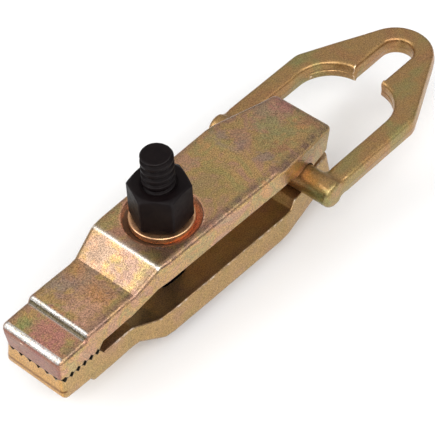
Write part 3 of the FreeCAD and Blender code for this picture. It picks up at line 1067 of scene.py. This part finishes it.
        # Painted highlights: a line where the slope meets the plateau, a thin line at the step's foot and
        # flecks along the inner edges.
        painted_highlight = 0.85 * np.exp(-(((x + 24.9) / 0.75) ** 2)) * (normals[:, 2] > 0.5)
        foot = 0.5 * np.exp(-(((x + 72.1) / 0.4) ** 2)) * level * (normals[:, 2] > 0.5)
        paint_points(mesh, "bead", bead)
        inner_edge = ease(-normals[:, 2], 0.15, 0.3) * ease(np.abs(normals[:, 1]), 0.15, 0.3)
        highlight_flecks = 0.3 * inner_edge * ease(swell(places, 31, 3.0), 0.1, 0.7) * ease(x, -60.0, -55.0)
        paint_points(mesh, "painted_highlight", np.maximum.reduce((painted_highlight, foot, highlight_flecks)))
        step = ahead * ease(x, -72.4, -71.8) * level
        paint_points(mesh, "shade", step * np.maximum(ease(tilt, 42.0, 50.0), ease(-x, 70.2, 70.6)))
        half = np.interp(x, *zip(*self.half_widths))
        # rim: painted shade, a dark band inside the top edges that is stronger on the -y side, across the
        # tail's top and along the inner edges.
        rim = ease(np.abs(y) - half, -4.4, -0.4) * np.where(y < 0.0, 1.0, 0.55)
        rim = np.maximum(rim, 0.7 * ease(x, self.rear - 7.0, self.rear - 1.0))
        rim = rim * ease(normals[:, 2], 0.2, 0.5)
        inside = ease(-normals[:, 2], 0.2, 0.5) * ease(x, self.tooth_end, self.tooth_end + 3.0)
        rim = np.maximum(rim, 0.6 * inside * ease(np.abs(y) - half, -4.4, -0.4))
        paint_points(mesh, "rim", rim)
        paint_points(mesh, "front", ease(-normals[:, 0], 0.6, 0.85) * ease(-x, 80.0, 84.0))
        round_bolt = ease(self.dish_rim + 1.0 - np.hypot(x, y), 0.0, 1.2)
        paint_points(mesh, "dish", round_bolt * ease(z, self.datum.plateau - 5.0, self.datum.plateau - 4.0))

    def dish_cutter(self) -> bpy.types.Object:
        """Makes the ball-shaped cutter for the washer's dish, with a rounded rim."""
        reach = self.dish_rim - 1.0
        angles = np.linspace(0.0, math.asin(reach / self.dish_radius), 20)
        drop = self.dish_radius * np.cos(angles)
        ball = np.column_stack((self.dish_radius * np.sin(angles), self.dish_centre - drop))
        out, plateau = self.dish_rim + 5.0, self.datum.plateau
        rim = Outline((
            Corner(*ball[-1]),
            Corner(self.dish_rim, plateau, 1.2),
            Corner(out, plateau + (out - self.dish_rim) * math.tan(math.radians(10.0))),
            Corner(out, plateau + 9.0),
        )).points()
        profile = np.concatenate((ball, rim[1:], [(0.0, plateau + 9.0)]))
        return make_object("dish_cutter", *revolve(profile, even_angles(144)))

    def slot_cutter(self) -> bpy.types.Object:
        """Makes the cutter for the bolt's slot."""
        low, high = self.slot_ends
        outline = Outline((
            Corner(high + self.slot_half, self.slot_half, self.slot_half),
            Corner(low - self.slot_half, self.slot_half, self.slot_half),
            Corner(low - self.slot_half, -self.slot_half, self.slot_half),
            Corner(high + self.slot_half, -self.slot_half, self.slot_half),
        ), closed=True, arc_steps=20)
        beyond, over = -1.0, self.datum.plateau + 5.0
        levels = [(beyond, 0.5), (beyond, self.arch - 0.6), (0.0, self.arch + 0.5), (0.0, over)]
        return make_object("slot_cutter", *loft(outline, levels))

    def build(self) -> bpy.types.Object:
        """Makes the jaw, puts it in its place and dresses it."""
        piece = make_object(self.name, *self.skin())
        self.add_relief(piece)
        cut_with(piece, self.dish_cutter())
        cut_with(piece, self.slot_cutter())
        self.paint(piece)
        put_on_side(piece, self.datum.plane, self.side)
        dress(piece, self.finish.build(), self.node, self.body)
        return piece


def dress(piece: bpy.types.Object, material: bpy.types.Material, node: str, body: str) -> None:
    """Gives a piece its finish, hangs it on the CAD body it rides on, and hides the CAD node it stands for.

    Args:
        piece: the mesh object.
        material: its finish.
        node: the CAD node that it replaces.
        body: the CAD body that it rides on.
    """
    piece.data.materials.clear()
    piece.data.materials.append(material)
    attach(piece, body)
    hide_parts(node)
    log.info("%s: %d faces, stands for %s on %s", piece.name, len(piece.data.polygons), node, body)


@dataclass
class PullLink:
    """The forged link: a crossbar, two arms and a closed end with a hook slot.

    Lengths are in millimetres, along the link from its crossbar's axis, and across it.
    """

    datum: Datum
    finish: ZincFilm
    name: str = "forged_pull_link"
    node: str = "pull_link"
    body: str = "link_body"
    half_width: float = 39.25
    half_thick: float = 5.4
    shoulder: float = 62.0
    shoulder_round: float = 13.0
    apex: float = 141.5
    apex_round: float = 20.3
    bay_half: float = 27.3
    bay_end: float = 72.2
    bay_round: float = 20.0
    slot_half: float = 8.2
    slot_end: float = 96.5
    knee_round: float = 2.6
    edge_round: float = 2.2
    draft: float = math.radians(6.0)
    bar_radius: float = 7.25
    bar_end_round: float = 2.4
    voxel: float = 0.52

    def outline(self) -> Outline:
        """Gives the link's outline, anticlockwise, as points along and across it."""
        slot_tip = self.slot_end + self.slot_half
        right = [
            Corner(1.0, -self.half_width),
            Corner(self.shoulder, -self.half_width, self.shoulder_round),
            Corner(self.apex, 0.0, self.apex_round),
            Corner(self.shoulder, self.half_width, self.shoulder_round),
            Corner(1.0, self.half_width),
            Corner(1.0, self.bay_half),
            Corner(self.bay_end, self.bay_half, self.bay_round),
            Corner(self.bay_end, self.slot_half, self.knee_round),
            Corner(slot_tip, self.slot_half, self.slot_half * 0.98),
            Corner(slot_tip, -self.slot_half, self.slot_half * 0.98),
            Corner(self.bay_end, -self.slot_half, self.knee_round),
            Corner(self.bay_end, -self.bay_half, self.bay_round),
            Corner(1.0, -self.bay_half),
        ]
        return Outline(tuple(right), closed=True, arc_steps=14)

    def plate(self) -> MeshData:
        """Draws the flat part, drafted both ways from a line at half its thickness."""
        straight = self.half_thick - self.edge_round
        levels = [(0.0, 0.0), (0.1, 0.45), (0.1 + straight * math.tan(self.draft), straight)]
        for angle in np.linspace(0.0, math.pi / 2.0, 7)[1:]:
            levels.append((
                levels[2][0] + self.edge_round * (1.0 - math.cos(angle)),
                straight + self.edge_round * math.sin(angle),
            ))
        rows = [(inset, -height) for inset, height in levels[:0:-1]] + levels
        return loft(self.outline(), rows)

    def crossbar(self) -> MeshData:
        """Draws the crossbar, with rounded ends."""
        arc = np.linspace(0.0, math.pi / 2.0, 8)
        end = self.half_width - self.bar_end_round
        rounding = self.bar_end_round
        tip = [
            (self.bar_radius - rounding * (1.0 - math.cos(a)), end + rounding * math.sin(a)) for a in arc
        ]
        run = [(self.bar_radius, y) for y in np.linspace(0.0, end, 30)[:-1]]
        half = run + tip + [(0.0, self.half_width)]
        profile = np.array([(r, -y) for r, y in half[:0:-1]] + half)
        turned, faces = revolve(profile, even_angles(72))
        return turned[:, (0, 2, 1)] * np.array((1.0, 1.0, -1.0)), faces

    def blend_ends(self, piece: bpy.types.Object) -> None:
        """Runs the arms and the crossbar into each other, as the forging die does.

        Args:
            piece: the link's mesh object, with its crossbar's axis at the origin.
        """
        mesh = piece.data
        places = places_of(mesh)
        pairs = np.zeros(len(mesh.edges) * 2, int)
        mesh.edges.foreach_get("vertices", pairs)
        pairs = pairs.reshape(-1, 2)
        inner_wall = np.abs(np.abs(places[:, 1]) - self.bay_half)
        off_axis = np.abs(np.hypot(places[:, 0], places[:, 2]) - self.bar_radius)
        by_wall = ease(4.0 - np.hypot(inner_wall, off_axis), 0.0, 3.0)
        on_arm = ease(np.abs(places[:, 1]), self.bay_half - 3.0, self.bay_half)
        by_top = on_arm * ease(places[:, 0], 2.5, 4.5) * ease(10.0 - places[:, 0], 0.0, 3.0)
        weight = 0.12 + 0.88 * np.maximum(by_wall, by_top)
        share = np.bincount(pairs.ravel(), minlength=len(places))[:, None]
        for turn in range(36):
            total = np.zeros_like(places)
            for axis in range(3):
                total[:, axis] = np.bincount(pairs[:, 0], places[pairs[:, 1], axis], len(places))
                total[:, axis] += np.bincount(pairs[:, 1], places[pairs[:, 0], axis], len(places))
            strength = weight if turn < 4 else np.where(weight > 0.2, weight, 0.0)
            places += (total / share - places) * 0.6 * strength[:, None]
        move_points(mesh, places)

    def build(self) -> bpy.types.Object:
        """Makes the link, puts it in its place and dresses it."""
        flat, flat_faces = self.plate()
        bar, bar_faces = self.crossbar()
        shifted = [tuple(number + len(flat) for number in face) for face in bar_faces]
        piece = make_object(self.name, np.concatenate((flat, bar)), flat_faces + shifted)
        remesh = piece.modifiers.new("one_forging", "REMESH")
        remesh.mode = "VOXEL"
        remesh.voxel_size = self.voxel * MM
        apply_modifiers(piece)
        self.blend_ends(piece)
        places = places_of(piece.data)
        uneven = swell(places, 21, 24.0) * 0.05 - 0.05
        move_points(piece.data, places + normals_of(piece.data) * uneven[:, None])
        places = places_of(piece.data)
        steep = ease(1.0 - np.abs(normals_of(piece.data)[:, 2]), 0.6, 0.95)
        line = np.exp(-((places[:, 2] / 0.45) ** 2)) * steep * ease(places[:, 0], 8.0, 12.0)
        paint_points(piece.data, "seam", line * 0.75)
        for name in ("teeth_shade", "bead", "painted_highlight", "shade", "rim", "front", "dish"):
            paint_points(piece.data, name, np.zeros(len(places)))
        piece.data.transform(Matrix.Translation((self.datum.pivot * MM, 0.0, self.datum.plane * MM)))
        smooth(piece)
        dress(piece, self.finish.build(), self.node, self.body)
        return piece


@dataclass(frozen=True)
class HexForm:
    """A hexagon with chamfered ends, as heads and nuts have.

    Attributes:
        across_flats: the size of the spanner, in millimetres.
        crown: the radius at which a chamfer starts.
        chamfer: the chamfer's slope, in radians.
        sector: the angles of the columns of one sixth, in degrees.
    """

    across_flats: float = 27.0
    crown: float = 12.9
    chamfer: float = math.radians(30.0)
    sector: tuple[float, ...] = (
        -30.0, -24.0, -18.0, -12.0, -7.0, -3.5, -1.2, 1.2, 3.5, 7.0, 12.0, 18.0, 24.0,
    )

    def angles(self) -> np.ndarray:
        """Gives the angle of each column, in radians, close together at the corners."""
        return np.radians(np.concatenate([np.array(self.sector) + 60.0 * turn for turn in range(6)]))

    def radii(self) -> np.ndarray:
        """Gives the radius of the flats at each column."""
        away = np.mod(self.angles(), math.pi / 3.0) - math.pi / 6.0
        return self.across_flats / 2.0 / np.cos(away)

    def ring(self, radius: np.ndarray | float, height: np.ndarray | float) -> np.ndarray:
        """Gives one ring of points."""
        angles = self.angles()
        radius = np.broadcast_to(radius, angles.shape)
        height = np.broadcast_to(height, angles.shape)
        return np.column_stack((radius * np.cos(angles), radius * np.sin(angles), height))

    def end_rings(self, level: float, inwards: float) -> list[np.ndarray]:
        """Gives the rings of one chamfered end, from its face to its flats.

        Args:
            level: the height of the end's face.
            inwards: 1 if the hexagon lies over the face, -1 if under it.

        Returns:
            The rings in order.
        """
        flats = self.radii()
        drop = np.maximum(flats - self.crown, 0.0) * math.tan(self.chamfer)
        return [
            self.ring(self.crown - 0.9, level),
            self.ring(self.crown - 0.15, level + 0.01 * inwards),
            self.ring(self.crown + 0.15, level + 0.10 * inwards),
            self.ring(flats - 0.22, level + (drop + 0.06) * inwards),
            self.ring(flats - 0.03, level + (drop + 0.30) * inwards),
            self.ring(flats, level + (drop + 0.75) * inwards),
        ]


@dataclass
class ClampBolt:
    """The hexagon-headed bolt, with a coarse rounded thread."""

    finish: BlackOxide
    name: str = "black_clamp_bolt"
    node: str = "clamp_bolt"
    body: str = "frame_body"
    form: HexForm = field(default_factory=HexForm)
    head_height: float = 10.0
    radius: float = 7.95
    neck_round: float = 0.6
    pitch: float = 4.0
    thread_depth: float = 1.15
    thread_start: float = 34.0
    tip_round: float = 1.7
    row_step: float = 0.22

    def thread(self, height: float, angles: np.ndarray) -> np.ndarray:
        """Gives the bolt's radius round one level of its thread.

        Args:
            height: the level.
            angles: the angle of each column.

        Returns:
            The radius at each column.
        """
        phase = np.mod(height / self.pitch - angles / (2.0 * math.pi), 1.0)
        away = np.abs(phase - 0.5) * 2.0
        groove = ease(away, 0.30, 0.72)
        begun = float(ease(height, self.thread_start, self.thread_start + 5.0))
        return self.radius - self.thread_depth * (1.0 - groove) * begun

    def build(self) -> bpy.types.Object:
        """Makes the bolt and dresses it."""
        form, angles = self.form, self.form.angles()
        tip = box_mm(self.node)[1][2]
        rings = [form.ring(0.0, 0.0)]
        rings += form.end_rings(0.0, 1.0)
        rings += form.end_rings(self.head_height, -1.0)[::-1]
        for angle in np.linspace(0.0, math.pi / 2.0, 5):
            reach = self.radius + self.neck_round * (1.0 - math.sin(angle))
            rings.append(form.ring(reach, self.head_height + self.neck_round * (1.0 - math.cos(angle))))
        count = int((tip - self.tip_round - self.head_height - 1.0) / self.row_step)
        for height in np.linspace(self.head_height + 1.0, tip - self.tip_round, count):
            rings.append(form.ring(self.thread(height, angles), height))
        for angle in np.linspace(0.0, math.pi / 2.0, 9)[1:]:
            height = tip - self.tip_round * (1.0 - math.sin(angle))
            limit = self.radius - self.tip_round * (1.0 - math.cos(angle))
            rings.append(form.ring(np.minimum(self.thread(height, angles), limit), height))
        rings.append(form.ring(4.0, tip - 0.02))
        rings.append(form.ring(0.0, tip - 0.05))
        places = np.concatenate(rings)
        piece = make_object(self.name, places, strip_faces(len(rings), len(angles)))
        dress(piece, self.finish.build(), self.node, self.body)
        return piece


@dataclass
class ClampNut:
    """The deep hexagon nut that closes the jaws."""

    finish: BlackOxide
    name: str = "black_clamp_nut"
    node: str = "clamp_nut"
    body: str = "nut_body"
    form: HexForm = field(default_factory=HexForm)
    bore: float = 8.1
    sink: float = 9.1
    turned: float = math.radians(5.7)

    def build(self) -> bpy.types.Object:
        """Makes the nut and dresses it."""
        low, high = (corner[2] for corner in box_mm(self.node))
        form = self.form
        depth = (self.sink - self.bore) * 0.7
        rings = [form.ring(self.bore, low + depth), form.ring(self.sink, low)]
        rings += form.end_rings(low, 1.0)
        rings += [form.ring(form.radii(), height) for height in np.linspace(low + 4.0, high - 4.0, 8)]
        rings += form.end_rings(high, -1.0)[::-1]
        rings += [form.ring(self.sink + 0.15, high), form.ring(self.sink - 0.1, high - 0.1)]
        rings += [form.ring(self.bore, high - depth)]
        rings.append(rings[0])
        piece = make_object(self.name, np.concatenate(rings), strip_faces(len(rings), len(form.angles())))
        piece.data.transform(Matrix.Rotation(self.turned, 4, "Z"))
        dress(piece, self.finish.build(), self.node, self.body)
        return piece


@dataclass
class BallWasher:
    """A washer whose underside is part of a ball, so that it seats square in a jaw's dish."""

    datum: Datum
    finish: CopperyZinc
    name: str
    node: str
    body: str
    side: Side
    outside: float = 16.0
    bore: float = 8.6
    ball: float = 29.9
    centre: float = 47.8
    proud: float = 1.0
    face_round: float = 0.7

    def build(self) -> bpy.types.Object:
        """Makes the washer, puts it in its place and dresses it."""
        face = self.datum.plateau + self.proud
        angles = np.linspace(math.asin(self.bore / self.ball), math.asin(self.outside / self.ball), 14)
        under = [(self.ball * math.sin(a), self.centre - self.ball * math.cos(a)) for a in angles]
        shape = Outline((
            Corner(*under[-2]),
            Corner(*under[-1], 0.5),
            Corner(self.outside, face, self.face_round),
            Corner(self.bore, face, 0.4),
            Corner(*under[0], 0.3),
            Corner(*under[1]),
        ), arc_steps=6).points()
        profile = np.concatenate((shape[:-1], under[1:-1]))
        profile = np.concatenate((profile, profile[:1]))
        piece = make_object(self.name, *revolve(profile, even_angles(120)))
        put_on_side(piece, self.datum.plane, self.side)
        dress(piece, self.finish.build(), self.node, self.body)
        return piece


# ---------------------------------------------------------------- studio


@dataclass(frozen=True)
class SoftBox:
    """A soft rectangular light.

    Attributes:
        name: its name.
        place: where it hangs, in millimetres.
        aim: what it points at, in millimetres.
        width: its width, in millimetres.
        height: its height, in millimetres.
        power: its power, in watts.
    """

    name: str
    place: Place
    aim: Place
    width: float
    height: float
    power: float

    def build(self) -> bpy.types.Object:
        """Makes the light."""
        lamp = bpy.data.lights.new(self.name, "AREA")
        lamp.shape = "RECTANGLE"
        lamp.size, lamp.size_y = self.width * MM, self.height * MM
        lamp.energy = self.power
        made = bpy.data.objects.new(self.name, lamp)
        bpy.context.scene.collection.objects.link(made)
        made.location = Vector(self.place) * MM
        made.rotation_euler = (Vector(self.place) - Vector(self.aim)).to_track_quat("Z", "Y").to_euler()
        return made


@dataclass(frozen=True)
class Studio:
    """Floor, lights and camera round the clamp.

    Lengths are in millimetres and angles in degrees. Azimuth 0 looks along +Y.
    """

    azimuth: float = -45.6
    elevation: float = 46.5
    roll: float = -3.6
    distance: float = 988.0
    aim: Place = (34.4, -2.5, 33.4)
    focal_share: float = 2042.0 / 435.0
    sensor: float = 36.0
    floor_reach: float = 3000.0
    sky: float = 0.75
    horizon: float = 0.35
    paper_reach: float = 430.0

    def floor(self) -> None:
        """Makes a plain pale floor that the bolt's head stands on."""
        grid = bmesh.new()
        bmesh.ops.create_grid(grid, x_segments=24, y_segments=24, size=self.floor_reach * MM)
        mesh = bpy.data.meshes.new("studio_floor")
        grid.to_mesh(mesh)
        grid.free()
        made = bpy.data.objects.new("studio_floor", mesh)
        bpy.context.scene.collection.objects.link(made)
        graph = Graph("pale_paper")
        far = graph.tree.nodes.new("ShaderNodeVectorMath")
        far.operation = "LENGTH"
        graph.put(far.inputs[0], graph.place)
        fade = graph.span(far.outputs["Value"], self.paper_reach, self.paper_reach * 3.5)
        tone = graph.mix(graph.noise(90.0, 2.0), (0.93, 0.93, 0.93), (0.95, 0.95, 0.95))
        tone = graph.mix(fade, tone, (0.42, 0.42, 0.42))
        mesh.materials.append(graph.finish(Base_Color=tone, Roughness=0.9))

    def light(self) -> None:
        """Makes the pale surroundings and the soft boxes."""
        world = bpy.data.worlds.new("pale_room")
        world.use_nodes = True
        tree = world.node_tree
        back = tree.nodes["Background"]
        back.inputs["Strength"].default_value = self.sky
        way = tree.nodes.new("ShaderNodeTexCoord")
        rise = tree.nodes.new("ShaderNodeSeparateXYZ")
        tone = tree.nodes.new("ShaderNodeValToRGB")
        low, high = tone.color_ramp.elements
        low.position, low.color = 0.0, (*(self.horizon,) * 3, 1.0)
        high.position, high.color = 0.75, (1.0, 1.0, 1.0, 1.0)
        tree.links.new(way.outputs["Generated"], rise.inputs[0])
        tree.links.new(rise.outputs["Z"], tone.inputs[0])
        tree.links.new(tone.outputs[0], back.inputs["Color"])
        bpy.context.scene.world = world
        for box in (
            SoftBox("tall_box", (-800.0, 600.0, 830.0), (0.0, 0.0, 40.0), 760.0, 900.0, 7.6),
            SoftBox("front_box", (-560.0, -560.0, 860.0), (20.0, 0.0, 40.0), 700.0, 700.0, 6.0),
            SoftBox("near_box", (250.0, -1000.0, 1000.0), (20.0, 0.0, 40.0), 900.0, 500.0, 6.0),
        ):
            box.build()

    def camera(self) -> None:
        """Makes the camera."""
        turn, rise = math.radians(self.azimuth), math.radians(self.elevation)
        back = Vector((math.sin(turn) * math.cos(rise), -math.cos(turn) * math.cos(rise), math.sin(rise)))
        right = Vector((0.0, 0.0, 1.0)).cross(back).normalized()
        up = back.cross(right)
        lean = math.radians(self.roll)
        across = right * math.cos(lean) + up * math.sin(lean)
        upright = up * math.cos(lean) - right * math.sin(lean)
        lens = bpy.data.cameras.new("view_camera")
        lens.sensor_width = self.sensor
        lens.lens = self.sensor * self.focal_share
        lens.clip_end = 20.0
        made = bpy.data.objects.new("view_camera", lens)
        bpy.context.scene.collection.objects.link(made)
        stance = Matrix((across, upright, back)).transposed().to_4x4()
        stance.translation = (Vector(self.aim) + back * self.distance) * MM
        made.matrix_world = stance
        bpy.context.scene.camera = made

    def build(self) -> None:
        """Makes the whole studio."""
        self.floor()
        self.light()
        self.camera()
        bpy.context.scene.view_settings.view_transform = "Standard"


# ---------------------------------------------------------------- finishes of each piece


def upper_finish() -> ZincFilm:
    """Gives the upper jaw's finish."""
    tints = (
        Tint((-79.0, -3.0, 49.0), 16.0, Shade.ROSE.value, 0.8),
        Tint((-81.0, 12.0, 49.5), 6.0, Shade.GREEN.value, 0.85),
        Tint((-86.0, 8.0, 47.0), 4.0, Shade.GREEN.value, 0.7),
        Tint((-55.0, 12.0, 52.0), 12.0, Shade.LILAC.value),
        Tint((-50.0, -6.0, 52.0), 10.0, Shade.ORANGE.value, 0.6),
        Tint((-44.0, 14.0, 52.0), 8.0, Shade.ORANGE.value, 0.5),
        Tint((-60.0, -6.0, 52.0), 12.0, (0.64, 0.36, 0.24), 0.7),
        Tint((-33.0, -8.0, 57.0), 14.0, (0.37, 0.225, 0.17), 0.9),
        Tint((-33.0, 10.0, 57.0), 13.0, (0.37, 0.25, 0.17), 0.9),
        Tint((30.0, 0.0, 61.0), 20.0, Shade.OLIVE.value, 0.6),
        Tint((-16.0, -15.0, 61.0), 7.0, (0.44, 0.23, 0.16), 0.7),
        Tint((-18.0, 8.0, 61.0), 7.0, (0.48, 0.22, 0.14), 0.7),
        Tint((8.0, -19.0, 61.0), 6.0, (0.50, 0.20, 0.11), 0.7),
        Tint((22.0, 16.0, 61.0), 9.0, Shade.ORANGE.value, 0.6),
        Tint((60.0, -11.0, 60.0), 7.0, Shade.LILAC.value, 0.65),
        Tint((58.0, 3.0, 60.0), 6.0, Shade.LILAC.value, 0.55),
        Tint((57.0, 15.0, 60.0), 7.0, Shade.LILAC.value, 0.65),
        Tint((70.0, -12.0, 58.0), 6.0, (0.45, 0.20, 0.11), 0.7),
        Tint((96.0, -9.0, 55.0), 7.0, (0.45, 0.20, 0.11), 0.7),
        Tint((96.0, 9.0, 55.0), 9.0, Shade.ROSE.value, 0.75),
        Tint((81.0, 2.0, 57.0), 13.0, (0.37, 0.33, 0.14), 0.8),
    )
    base = (
        (0.32, (0.43, 0.29, 0.17)),
        (0.44, (0.51, 0.28, 0.16)),
        (0.52, Shade.GOLD.value),
        (0.60, (0.43, 0.32, 0.12)),
        (0.70, (0.57, 0.31, 0.12)),
    )
    return ZincFilm("iridescent_zinc_upper", base, seed=1.0, tints=tints)


def lower_finish() -> ZincFilm:
    """Gives the lower jaw's finish, which is yellower."""
    base = ((0.32, (0.42, 0.25, 0.13)), (0.5, (0.44, 0.28, 0.11)), (0.68, (0.39, 0.27, 0.10)))
    return ZincFilm(
        "iridescent_zinc_lower", base, seed=6.0, contrast=0.42, front=(0.56, 0.30, 0.085), seam_depth=1.0,
    )


def link_finish() -> ZincFilm:
    """Gives the link's finish."""
    base = (
        (0.34, (0.40, 0.205, 0.08)), (0.5, (0.40, 0.235, 0.085)),
        (0.62, (0.34, 0.255, 0.09)), (0.74, (0.27, 0.27, 0.10)),
    )
    return ZincFilm("iridescent_zinc_link", base, patch=24.0, seed=9.0, grain_depth=0.05, contrast=0.40)


def main() -> None:
    """Builds the clamp's pieces in order, and the studio round them."""
    logging.basicConfig(level=logging.INFO, format="%(name)s: %(message)s")
    datum = read_datum()
    for piece in (
        ForgedJaw(
            datum, "forged_upper_jaw", "upper_jaw", "upper_body", Side.UPPER, upper_finish(), split_start=1.2,
        ),
        ForgedJaw(datum, "forged_lower_jaw", "lower_jaw", "frame_body", Side.LOWER, lower_finish()),
        PullLink(datum, link_finish()),
        ClampBolt(BlackOxide("black_oxide_bolt")),
        ClampNut(BlackOxide("black_oxide_nut", seed=5.0)),
        BallWasher(
            datum, CopperyZinc("coppery_zinc_nut_washer"),
            "nut_ball_washer", "nut_washer", "washer_body", Side.UPPER,
        ),
        BallWasher(
            datum, CopperyZinc("coppery_zinc_head_washer", 8.0),
            "head_ball_washer", "head_washer", "frame_body", Side.LOWER,
        ),
    ):
        piece.build()
    Studio().build()


if __name__ == "__main__":
    main()
